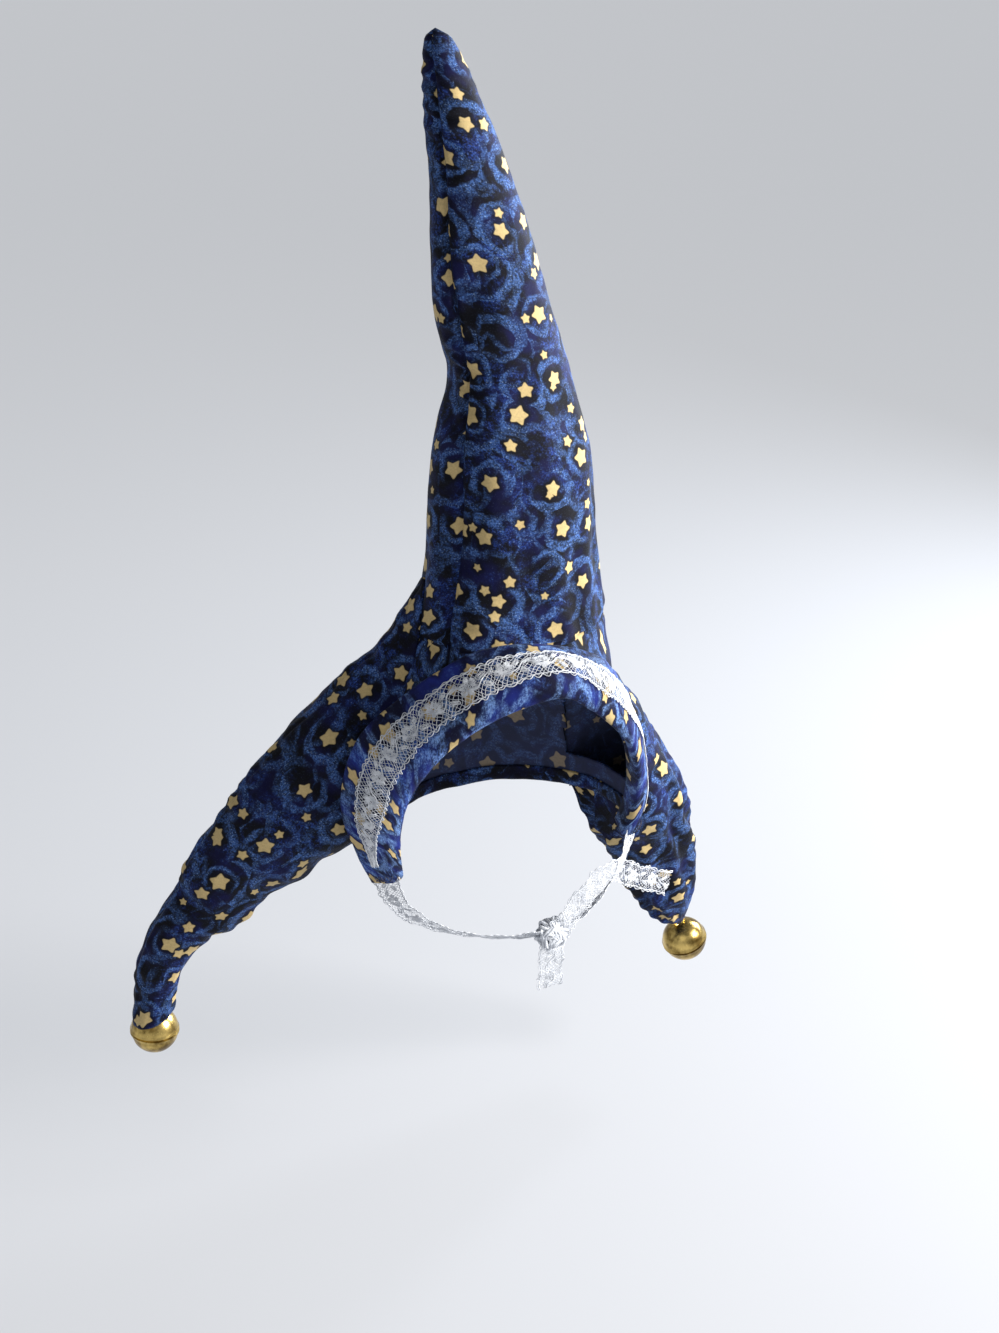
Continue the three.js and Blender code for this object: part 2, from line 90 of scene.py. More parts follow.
class Held(Enum):
    """How a sheet of cloth is held."""

    STRETCHED = "stretched"
    HUNG = "hung"
    FOLDED = "folded"
    LAID = "laid"


@dataclass(frozen=True)
class Cut:
    """A flat piece of cloth before sewing: its width, length and area in metres, and how it is held."""

    width: float
    length: float
    area: float
    held: Held


CROWN_CUT = Cut(0.300, 0.115, 0.0170, Held.STRETCHED)
PEAK_CUT = Cut(0.222, 0.222, 0.0272, Held.STRETCHED)
LEFT_TAIL_CUT = Cut(0.172, 0.190, 0.0175, Held.HUNG)
RIGHT_TAIL_CUT = Cut(0.152, 0.166, 0.0137, Held.HUNG)
BRIM_CUT = Cut(0.245, 0.041, 0.0084, Held.FOLDED)


@dataclass(frozen=True)
class Ring:
    """One level of the crown and peak: half width, reach to front and back, and its middle."""

    z: float
    half: float
    front: float
    back: float
    shift_x: float
    shift_y: float


@dataclass(frozen=True)
class Fold:
    """A soft dent: its place along and round a piece, how far it fades each way, and its depth."""

    along: float
    turn: float
    tall: float
    wide: float
    depth: float


@dataclass(frozen=True)
class Bend:
    """A station of a tail: the middle of its section, and the section's half height and half depth."""

    x: float
    y: float
    z: float
    tall: float
    deep: float


@dataclass(frozen=True)
class Station:
    """A station of the brim: a point on its fold, one on its free edge, and how far it bulges between."""

    fold: Triple
    free: Triple
    bulge: float


@dataclass(frozen=True)
class Knot:
    """A station of a ribbon: a point on its middle line and the way that its face looks."""

    at: Triple
    face: Triple


BODY_RINGS = (
    Ring(0.0, 50.0, 40.0, 46.0, 0.0, 0.0),
    Ring(22.0, 52.0, 47.0, 48.0, -2.0, 0.0),
    Ring(44.0, 48.5, 51.5, 47.0, -5.0, 0.0),
    Ring(62.0, 44.5, 50.0, 44.0, -6.3, 0.0),
    Ring(74.0, 42.0, 47.0, 40.0, -4.7, 0.0),
    Ring(83.0, 39.5, 42.5, 36.0, -3.0, 0.0),
    Ring(87.5, 38.3, 34.5, 34.0, -1.7, 0.0),
    Ring(92.0, 37.6, 28.0, 32.0, -0.4, 0.0),
    Ring(102.0, 36.0, 25.5, 28.5, 0.0, 0.0),
    Ring(118.0, 33.5, 24.0, 25.5, 0.5, 0.0),
    Ring(139.0, 31.6, 22.5, 23.0, 0.5, 0.0),
    Ring(159.0, 29.4, 21.0, 21.0, 0.0, 0.0),
    Ring(173.0, 26.6, 19.6, 19.6, -0.7, 0.4),
    Ring(187.0, 24.0, 18.0, 18.0, -1.8, 0.8),
    Ring(200.0, 22.2, 17.0, 17.0, -3.6, 1.2),
    Ring(215.0, 21.0, 16.0, 16.0, -6.6, 2.0),
    Ring(234.0, 18.6, 14.5, 14.5, -9.8, 3.5),
    Ring(259.0, 14.2, 11.5, 11.5, -13.5, 5.0),
    Ring(283.0, 9.8, 8.8, 8.8, -18.5, 6.5),
    Ring(299.0, 6.4, 6.0, 6.0, -22.0, 7.5),
    Ring(305.5, 3.8, 3.6, 3.6, -23.6, 8.0),
    Ring(308.0, 0.0, 0.0, 0.0, -24.2, 8.2),
)

BODY_FOLDS = (
    Fold(187.0, -88.0, 11.0, 34.0, 4.5),
    Fold(214.0, -40.0, 9.0, 24.0, 1.6),
    Fold(176.0, 30.0, 9.0, 30.0, 1.5),
    Fold(135.0, -52.0, 22.0, 15.0, 2.0),
    Fold(128.0, 140.0, 26.0, 26.0, 2.2),
    Fold(60.0, 180.0, 24.0, 20.0, 2.5),
    Fold(192.0, -60.0, 3.2, 30.0, 1.2),
    Fold(178.0, -70.0, 3.0, 26.0, 1.0),
    Fold(118.0, 62.0, 34.0, 9.0, 1.5),
    Fold(112.0, 30.0, 16.0, 8.0, 1.2),
    Fold(104.0, -20.0, 9.0, 10.0, 0.9),
    Fold(110.0, -100.0, 20.0, 12.0, 1.4),
)

LEFT_BENDS = (
    Bend(-6.0, 5.0, 74.0, 44.0, 14.0),
    Bend(-28.0, 7.5, 58.0, 36.5, 18.0),
    Bend(-45.0, 9.5, 47.5, 33.0, 20.0),
    Bend(-60.0, 11.0, 38.0, 29.5, 19.5),
    Bend(-75.0, 14.0, 26.0, 26.5, 18.5),
    Bend(-91.0, 18.0, 9.5, 23.0, 16.5),
    Bend(-104.5, 23.0, -4.5, 19.0, 14.0),
    Bend(-113.5, 27.0, -18.0, 15.6, 12.0),
    Bend(-124.2, 31.0, -30.5, 11.4, 9.8),
    Bend(-132.2, 34.5, -43.5, 9.3, 8.4),
    Bend(-135.2, 37.0, -56.5, 8.6, 7.9),
    Bend(-136.6, 39.6, -72.5, 8.2, 7.8),
)

RIGHT_BENDS = (
    Bend(18.0, 7.0, 50.0, 25.0, 16.0),
    Bend(32.0, 10.0, 36.0, 26.0, 19.0),
    Bend(47.0, 15.0, 17.0, 23.5, 19.5),
    Bend(60.6, 20.0, -2.5, 21.4, 18.5),
    Bend(69.0, 24.0, -18.0, 20.0, 16.5),
    Bend(76.5, 28.5, -36.0, 17.6, 14.0),
    Bend(83.6, 33.5, -56.0, 14.4, 11.5),
    Bend(88.8, 36.5, -70.5, 9.6, 8.2),
    Bend(93.0, 38.4, -78.6, 4.6, 4.4),
    Bend(94.6, 39.0, -81.6, 2.2, 2.2),
)

LEFT_FOLDS = (
    Fold(0.36, -70.0, 0.05, 45.0, 2.5),
    Fold(0.52, -125.0, 0.05, 50.0, 2.2),
    Fold(0.66, -60.0, 0.04, 40.0, 1.8),
    Fold(0.22, -100.0, 0.016, 55.0, 2.0),
    Fold(0.27, -120.0, 0.014, 50.0, 1.8),
    Fold(0.32, -75.0, 0.014, 40.0, 1.4),
    Fold(0.44, -165.0, 0.02, 40.0, 2.2),
    Fold(0.58, 170.0, 0.02, 45.0, 2.0),
    Fold(0.70, -150.0, 0.018, 45.0, 1.6),
    Fold(0.48, 60.0, 0.04, 60.0, 1.8),
    Fold(0.62, 110.0, 0.03, 50.0, 1.6),
)

RIGHT_FOLDS = (
    Fold(0.45, -60.0, 0.05, 40.0, 2.2),
    Fold(0.60, -130.0, 0.05, 36.0, 2.0),
    Fold(0.72, 60.0, 0.05, 45.0, 1.8),
    Fold(0.232, -95.0, 0.02, 55.0, -1.4),
    Fold(0.257, -95.0, 0.012, 60.0, 3.0),
    Fold(0.52, 90.0, 0.04, 60.0, 1.8),
)

BRIM_STATIONS = (
    Station((-47.0, -1.0, -8.0), (-57.0, 0.0, -7.0), 1.0),
    Station((-51.0, -10.0, 10.0), (-66.0, -8.0, 14.0), 2.0),
    Station((-52.0, -18.0, 28.0), (-72.0, -12.0, 36.0), 3.0),
    Station((-48.0, -25.0, 45.0), (-66.0, -14.0, 60.0), 3.5),
    Station((-38.0, -33.5, 62.0), (-50.0, -17.0, 75.0), 4.0),
    Station((-21.0, -42.0, 76.0), (-25.5, -24.5, 91.5), 4.4),
    Station((0.0, -46.5, 82.0), (-0.2, -29.8, 92.6), 4.4),
    Station((15.0, -41.8, 72.5), (17.4, -32.0, 87.8), 3.2),
    Station((27.4, -35.4, 60.0), (32.4, -22.5, 72.4), 2.4),
    Station((38.1, -28.1, 45.8), (43.2, -10.5, 52.8), 2.0),
    Station((45.9, -17.9, 26.1), (52.0, -2.0, 30.4), 1.8),
    Station((50.2, -7.3, 5.4), (55.0, -1.6, 10.6), 1.5),
    Station((49.2, -1.5, -8.0), (55.0, 1.0, -7.4), 1.0),
)

LEFT_TIE = (
    Knot((-47.0, -4.4, -20.0), (-0.6, -0.7, -0.3)),
    Knot((-32.0, -11.0, -29.5), (-0.25, -0.6, -0.75)),
    Knot((-12.0, -17.0, -34.0), (0.0, -0.6, -0.8)),
    Knot((5.0, -19.6, -35.0), (0.0, -0.7, -0.7)),
)

RIGHT_TIE = (
    Knot((46.5, -4.4, -19.0), (0.6, -0.7, -0.3)),
    Knot((37.0, -8.5, -28.5), (0.35, -0.6, -0.7)),
    Knot((25.0, -13.6, -34.5), (0.1, -0.6, -0.8)),
    Knot((14.0, -17.8, -36.4), (0.0, -0.7, -0.7)),
)

LONG_END = (
    Knot((11.0, -23.0, -33.5), (0.0, -1.0, 0.0)),
    Knot((23.0, -22.0, -20.0), (0.1, -1.0, 0.0)),
    Knot((36.0, -17.0, -14.5), (0.2, -1.0, -0.1)),
    Knot((51.0, -9.0, -25.0), (0.1, -1.0, 0.1)),
    Knot((67.0, -6.0, -33.0), (0.0, -1.0, 0.1)),
)

SHORT_END = (
    Knot((9.0, -21.0, -36.0), (0.0, -1.0, 0.0)),
    Knot((8.4, -22.5, -46.0), (-0.1, -1.0, 0.0)),
    Knot((8.0, -21.5, -59.0), (0.1, -1.0, 0.1)),
)


def columns_of(rows: tuple) -> Array:
    """Turns a table of plain rows into an array with one column a field.

    Args:
        rows: dataclass rows whose fields are all numbers.

    Returns:
        An array of one row a table row.
    """
    return np.array([list(vars(row).values()) for row in rows], dtype=float)


def spline(marks: Array, knots: Array, at: Array) -> Array:
    """Runs a smooth curve through knots.

    Args:
        marks: a rising number for each knot.
        knots: one row of values for each knot.
        at: the numbers to read the curve at.

    Returns:
        One row of values for each number.
    """
    slopes = np.gradient(knots, marks, axis=0)
    low = np.clip(np.searchsorted(marks, at, side="right") - 1, 0, len(marks) - 2)
    gap = (marks[low + 1] - marks[low])[:, None]
    share = (at - marks[low])[:, None] / gap
    rest = 1.0 - share
    start = (1.0 + 2.0 * share) * rest**2 * knots[low] + share * rest**2 * gap * slopes[low]
    end = share**2 * (3.0 - 2.0 * share) * knots[low + 1] - share**2 * rest * gap * slopes[low + 1]
    return start + end


def unit(vectors: Array) -> Array:
    """Scales each row to a length of one."""
    return vectors / np.maximum(np.linalg.norm(vectors, axis=-1, keepdims=True), 1e-9)


def smooth_step(value: Array, low: float, high: float) -> Array:
    """Rises softly from 0 at low to 1 at high."""
    share = np.clip((value - low) / (high - low), 0.0, 1.0)
    return share * share * (3.0 - 2.0 * share)


def hump(apart: Array, wide: float) -> Array:
    """A round hump that is 1 in the middle and fades over the given width."""
    return np.exp(-((apart / wide) ** 2))


def run_along(line: Array) -> Array:
    """How far along a line each of its points is, from 0 at the first."""
    steps = np.linalg.norm(np.diff(line, axis=0), axis=1)
    return np.concatenate([[0.0], np.cumsum(steps)])


def wander(points: Array, size: Triple, seed: float) -> Array:
    """Reads a soft noise at points.

    Args:
        points: places in millimetres.
        size: how far the noise takes to change along each axis.
        seed: an offset that picks another part of the noise.

    Returns:
        A value from about -1 to 1 for each point.
    """
    scaled = points / np.array(size) + seed
    return np.array([noise.noise(Vector(place)) for place in scaled])


@dataclass(frozen=True)
class Wrinkle:
    """A soft unevenness: its depth, how far it takes to change along each axis, and its seed."""

    depth: float
    size: Triple
    seed: float

    def lift(self, points: Array, more_seed: float = 0.0) -> Array:
        """How far it moves each point, in millimetres."""
        return self.depth * wander(points, self.size, self.seed + more_seed)


def turn_apart(turn: Array, other: float) -> Array:
    """The signed angle in degrees from one turn to another, the short way round."""
    return (turn - other + 180.0) % 360.0 - 180.0


def dents(folds: tuple[Fold, ...], along: Array, turn: Array) -> Array:
    """Adds up the depth of soft dents.

    Args:
        folds: the dents.
        along: how far along the piece each point is.
        turn: how far round the piece each point is, in degrees.

    Returns:
        The depth at each point, in millimetres.
    """
    depth = np.zeros_like(along)
    for fold in folds:
        apart = turn_apart(turn, fold.turn)
        depth += fold.depth * np.exp(-(((along - fold.along) / fold.tall) ** 2) - (apart / fold.wide) ** 2)
    return depth


@dataclass(frozen=True)
class Seam:
    """A sewn line along a tube of cloth, pulled in by its thread, with puckers on both sides."""

    turn: float
    groove: float = 0.7
    groove_wide: float = 1.1
    pucker: float = 0.5
    reach: float = 8.0
    flat_beside: float = 1.6
    pitch: float = 7.0
    stray: float = 1.9
    stray_rate: float = 0.13
    lean: float = 0.12
    fade_rate: float = 0.071

    def lift(self, along: Array, turn: Array, radius: Array) -> Array:
        """Works out how the seam moves the cloth outward.

        Args:
            along: millimetres along the seam.
            turn: degrees round the tube.
            radius: the tube's radius at each point.

        Returns:
            The move at each point, in millimetres.
        """
        apart = np.radians(turn_apart(turn, self.turn)) * radius
        dip = self.groove * hump(apart, self.groove_wide)
        stray = self.stray * np.sin(along * self.stray_rate)
        phase = FULL_TURN * along / self.pitch + stray + self.lean * apart
        strength = 0.6 + 0.4 * np.sin(along * self.fade_rate + self.turn)
        beside = hump(apart, self.reach) * (1.0 - hump(apart, self.flat_beside))
        return self.pucker * strength * np.cos(phase) * beside - dip


def measured_chart(laid: Array, panels: int) -> Array:
    """Charts a laid grid by its own lengths, counted from its first row and each panel's middle column.

    Args:
        laid: points by row and column.
        panels: how many equal panels it is cut in.

    Returns:
        The flat place of each point, by row and column.
    """
    steps = np.linalg.norm(np.diff(laid, axis=1), axis=2)
    whole = np.concatenate([np.zeros((len(laid), 1)), np.cumsum(steps, axis=1)], axis=1)
    across = np.empty_like(whole)
    wide = (laid.shape[1] - 1) // panels
    for panel in range(panels):
        first = panel * wide
        kept = slice(first, first + wide + 1)
        across[:, kept] = whole[:, kept] - whole[:, [first + wide // 2]] + panel * PANEL_APART
    climbs = np.linalg.norm(np.diff(laid, axis=0), axis=2).mean(axis=1)
    along = np.concatenate([[0.0], np.cumsum(climbs)])
    return np.stack([across, np.repeat(along[:, None], laid.shape[1], axis=1)], axis=2)


def cloth_grid(columns: int, rows: int, shape: Shape, closed: bool, flat: Shape | None = None,
               panels: int = 1) -> BMesh:
    """Lays a grid along a surface and charts it in metres of cloth.

    Args:
        columns: squares across.
        rows: squares along.
        shape: gives points in millimetres from the shares across and along.
        closed: whether the first and last columns meet.
        flat: gives the place on the uncut cloth in millimetres; left out, the grid is measured.
        panels: how many panels a measured grid is cut in.

    Returns:
        The mesh, in metres.
    """
    sheet = bmesh.new()
    bmesh.ops.create_grid(sheet, x_segments=columns, y_segments=rows, size=0.5)
    sheet.verts.index_update()
    shares = np.round(np.array([vert.co[:2] for vert in sheet.verts]) + 0.5, 6)
    points = shape(shares[:, 0], shares[:, 1]) * MM
    if flat:
        chart = flat(shares[:, 0], shares[:, 1]) * MM
    else:
        order = np.lexsort((shares[:, 0], shares[:, 1])).reshape(rows + 1, columns + 1)
        chart = np.empty((len(points), 2))
        chart[order.ravel()] = measured_chart(points[order], panels).reshape(-1, 2)
    layer = sheet.loops.layers.uv.new(CHART)
    for face in sheet.faces:
        for loop in face.loops:
            loop[layer].uv = chart[loop.vert.index]
    for vert in sheet.verts:
        vert.co = points[vert.index]
    if closed:
        bmesh.ops.remove_doubles(sheet, verts=sheet.verts, dist=2e-6)
    return sheet


def face_out(sheet: BMesh, outward: Callable[[Vector], Vector]) -> None:
    """Turns all the faces of an open sheet to one side.

    Args:
        sheet: a sheet whose faces already agree with each other.
        outward: gives the way out at a point in metres.
    """
    sheet.normal_update()
    votes = 0.0
    for face in sheet.faces:
        votes += face.normal.dot(outward(face.calc_center_median())) * face.calc_area()
    if votes < 0.0:
        bmesh.ops.reverse_faces(sheet, faces=sheet.faces)


def to_object(name: str, shell: BMesh, *finishes: Material) -> Piece:
    """Makes a smooth object of a mesh and frees the mesh.

    Args:
        name: the piece's name.
        shell: the mesh in metres.
        finishes: its materials in slot order.

    Returns:
        The new object, linked into the scene.
    """
    mesh = bpy.data.meshes.new(name)
    shell.to_mesh(mesh)
    shell.free()
    mesh.shade_smooth()
    for finish in finishes:
        mesh.materials.append(finish)
    piece = bpy.data.objects.new(name, mesh)
    bpy.context.scene.collection.objects.link(piece)
    return piece


def thicken(piece: Piece, thick: float, offset: float = -1.0) -> None:
    """Gives a sheet of cloth its thickness, with its second material on the wrong side.

    Args:
        piece: the sheet.
        thick: the thickness in millimetres.
        offset: -1 to grow inward from the sheet, 0 to both sides.
    """
    wall = piece.modifiers.new("Thickness", "SOLIDIFY")
    wall.thickness = thick * MM
    wall.offset = offset
    wall.material_offset = 1 if len(piece.data.materials) > 1 else 0
    wall.use_even_offset = False


def settle(piece: Piece, slot: Slot, *nodes: str) -> Piece:
    """Rides a piece on the hat, hides the CAD nodes that it stands for and logs its size.

    Args:
        piece: the new piece.
        slot: a material slot; not used.
        nodes: the CAD nodes that it replaces.

    Returns:
        The same piece.
    """
    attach(piece, BODY)
    if nodes:
        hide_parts(*nodes)
    area = sum(face.area for face in piece.data.polygons)
    LOG.info("%s: %d faces, %.5f square metres", piece.name, len(piece.data.polygons), area)
    return piece


def sewn_sheet(piece: Piece, cut: Cut, node: str, *carried_by: Piece) -> Piece:
    """Args:
        piece: the sewn piece.
        cut: its flat cloth; not used.
        node: the CAD node that it replaces.
        carried_by: the pieces that it is sewn to; not used.

    Returns:
        The same piece.
    """
    settle(piece, Slot.COTTON, node)
    return piece


def lace_sheet(piece: Piece, length: float, held: Held, node: str, carried_by: Piece) -> Piece:
    """Settles a strip of lace.

    Args:
        piece: the strip.
        length: its flat length in millimetres; not used.
        held: how it is held; not used.
        node: the CAD node that it replaces.
        carried_by: the piece that it is sewn or tied to; not used.

    Returns:
        The same piece.
    """
    settle(piece, Slot.LACE, node)
    return piece


def threads(name: str, lines: list[Array], radius: float, sides: int, finish: Material,
            closed: bool = False) -> Piece:
    """Makes round threads along lines, as one mesh.

    Args:
        name: the piece's name.
        lines: arrays of points in millimetres.
        radius: the thread's radius in millimetres.
        sides: 4 or more, in steps of two.
        finish: its material.
        closed: whether each line runs back to its start.

    Returns:
        The new object.
    """
    curve = bpy.data.curves.new(name, "CURVE")
    curve.dimensions = "3D"
    curve.bevel_depth = radius * MM
    curve.bevel_resolution = (sides - 4) // 2
    curve.use_fill_caps = not closed
    for line in lines:
        path = curve.splines.new("POLY")
        path.points.add(len(line) - 1)
        flat = np.concatenate([line * MM, np.ones((len(line), 1))], axis=1)
        path.points.foreach_set("co", flat.ravel())
        path.use_cyclic_u = closed
        path.use_smooth = True
    holder = bpy.data.objects.new(name + ".path", curve)
    bpy.context.scene.collection.objects.link(holder)
    made = bpy.data.meshes.new_from_object(holder.evaluated_get(bpy.context.evaluated_depsgraph_get()))
    bpy.data.objects.remove(holder)
    bpy.data.curves.remove(curve)
    shell = bmesh.new()
    shell.from_mesh(made)
    bpy.data.meshes.remove(made)
    bmesh.ops.remove_doubles(shell, verts=shell.verts, dist=1e-6)
    return to_object(name, shell, finish)


def merge(name: str, pieces: list[Piece]) -> Piece:
    """Joins objects that share one material into the first and removes the rest.

    Args:
        name: the joined piece's name.
        pieces: the objects to join.

    Returns:
        The joined object.
    """
    shell = bmesh.new()
    for piece in pieces:
        shell.from_mesh(piece.data)
    finishes = list(pieces[0].data.materials)
    for piece in pieces:
        bpy.data.meshes.remove(piece.data)
    return to_object(name, shell, *finishes)


def colour(red: int, green: int, blue: int) -> tuple[float, float, float, float]:
    """Turns a screen colour of 0 to 255 into a shader colour."""
    linear = [((part / 255.0 + 0.055) / 1.055) ** 2.4 for part in (red, green, blue)]
    return (linear[0], linear[1], linear[2], 1.0)


@dataclass(frozen=True)
class Mottle:
    """A soft noise: the size of its blobs, its detail and roughness, its mask's two levels and its shift."""

    size: float
    detail: float = 2.0
    rough: float = 0.5
    low: float = 0.0
    high: float = 1.0
    shift: Triple = (0.0, 0.0, 0.0)


@dataclass(frozen=True)
class Scatter:
    """A scatter of points: the distance between them, how loose it is from 0 to 1, and its shift."""

    pitch: float
    loose: float
    shift: Triple = (0.0, 0.0, 0.0)


@dataclass(frozen=True)
class Stars:
    """Stars on a scatter: their least and greatest radius, and the share of points that hold one."""

    scatter: Scatter
    least: float
    most: float
    kept: float


class Graph:
    """A material's nodes, with short ways to add and join them."""

    def __init__(self, name: str) -> None:
        """Starts a material with a plain shader.

        Args:
            name: the material's name.
        """
        self.material = bpy.data.materials.new(name)
        self.material.use_nodes = True
        self.tree = self.material.node_tree
        self.tree.nodes.clear()
        self.shader = self.add("ShaderNodeBsdfPrincipled")
        self.add("ShaderNodeOutputMaterial", {"Surface": self.shader.outputs["BSDF"]})

    def add(self, kind: str, inputs: dict | None = None, **settings: object) -> bpy.types.Node:
        """Adds a node.

        Args:
            kind: its type.
            inputs: a socket or a plain value for each of its inputs, by name or number.
            settings: its properties.

        Returns:
            The node.
        """
        node = self.tree.nodes.new(kind)
        for key, value in settings.items():
            setattr(node, key, value)
        for key, value in (inputs or {}).items():
            self.join(value, node.inputs[key])
        return node

    def join(self, source: object, target: Socket) -> None:
        """Links a socket to another, or sets a plain value on it.

        Args:
            source: a socket or a plain value.
            target: the input.
        """
        if isinstance(source, Socket):
            self.tree.links.new(source, target)
        else:
            target.default_value = source

    def math(self, operation: str, *values: object) -> Socket:
        """Adds an operation on one to three values."""
        return self.add("ShaderNodeMath", dict(enumerate(values)), operation=operation).outputs[0]

    def product(self, first: object, *others: object) -> Socket:
        """Adds the product of two or more values."""
        together = self.math("MULTIPLY", first, others[0])
        return self.product(together, *others[1:]) if len(others) > 1 else together

    def vector(self, operation: str, first: object, second: object) -> Socket:
        """Adds an operation on two vectors."""
        node = self.add("ShaderNodeVectorMath", {0: first, 1: second}, operation=operation)
        return node.outputs["Vector"]

    def length(self, value: object) -> Socket:
        """Adds the length of a vector."""
        return self.add("ShaderNodeVectorMath", {0: value}, operation="LENGTH").outputs["Value"]

    def scaled(self, value: object, factor: float) -> Socket:
        """Adds a vector made longer."""
        node = self.add("ShaderNodeVectorMath", {0: value, "Scale": factor}, operation="SCALE")
        return node.outputs["Vector"]

    def place(self) -> Socket:
        """Adds the place on the object, in millimetres."""
        return self.scaled(self.add("ShaderNodeTexCoord").outputs["Object"], 1.0 / MM)

    def step(self, value: object, low: object, high: object) -> Socket:
        """Adds a soft rise from 0 at low to 1 at high."""
        inputs = {"Value": value, "From Min": low, "From Max": high}
        return self.add("ShaderNodeMapRange", inputs, interpolation_type="SMOOTHSTEP").outputs["Result"]

    def span(self, value: object, low: float, high: float) -> Socket:
        """Adds a straight run from low at 0 to high at 1."""
        inputs = {"Value": value, "To Min": low, "To Max": high}
        return self.add("ShaderNodeMapRange", inputs).outputs["Result"]

    def noise(self, place: object, mottle: Mottle) -> Socket:
        """Adds a soft noise from 0 to 1."""
        inputs = {"Vector": self.vector("ADD", place, mottle.shift), "Scale": 1.0 / mottle.size,
                  "Detail": mottle.detail, "Roughness": mottle.rough}
        return self.add("ShaderNodeTexNoise", inputs).outputs["Fac"]

    def mask(self, place: object, mottle: Mottle) -> Socket:
        """Adds a soft noise that is sharpened between the mottle's two levels."""
        return self.step(self.noise(place, mottle), mottle.low, mottle.high)

    def blend(self, factor: object, first: object, second: object) -> Socket:
        """Adds a mix of two colours."""
        return self.add("ShaderNodeMix", {0: factor, 6: first, 7: second}, data_type="RGBA").outputs[2]

    def bump(self, height: object, distance: float, strength: float) -> None:
        """Roughens the surface by a height, over a distance in millimetres."""
        inputs = {"Height": height, "Distance": distance * MM, "Strength": strength}
        self.join(self.add("ShaderNodeBump", inputs).outputs["Normal"], self.shader.inputs["Normal"])

    def set(self, **values: object) -> None:
        """Sets the shader's sockets by name, with _ for a space."""
        for key, value in values.items():
            self.join(value, self.shader.inputs[key.replace("_", " ")])


class Spots:
    """The nearest point of a scatter on the cloth: its distance, its way and its own random numbers."""

    def __init__(self, graph: Graph, place: object, scatter: Scatter) -> None:
        """Adds the scatter.

        Args:
            graph: the material.
            place: the place on the cloth in millimetres.
            scatter: the scatter.
        """
        moved = graph.vector("ADD", place, scatter.shift)
        inputs = {"Vector": moved, "Scale": 1.0 / scatter.pitch, "Randomness": scatter.loose}
        cells = graph.add("ShaderNodeTexVoronoi", inputs, voronoi_dimensions="2D").outputs
        local = graph.vector("SUBTRACT", moved, cells["Position"])
        axes = graph.add("ShaderNodeSeparateXYZ", {0: local}).outputs
        self.angle = graph.math("ARCTAN2", axes["Y"], axes["X"])
        self.away = graph.length(local)
        self.dice = graph.add("ShaderNodeSeparateColor", {0: cells["Color"]}).outputs


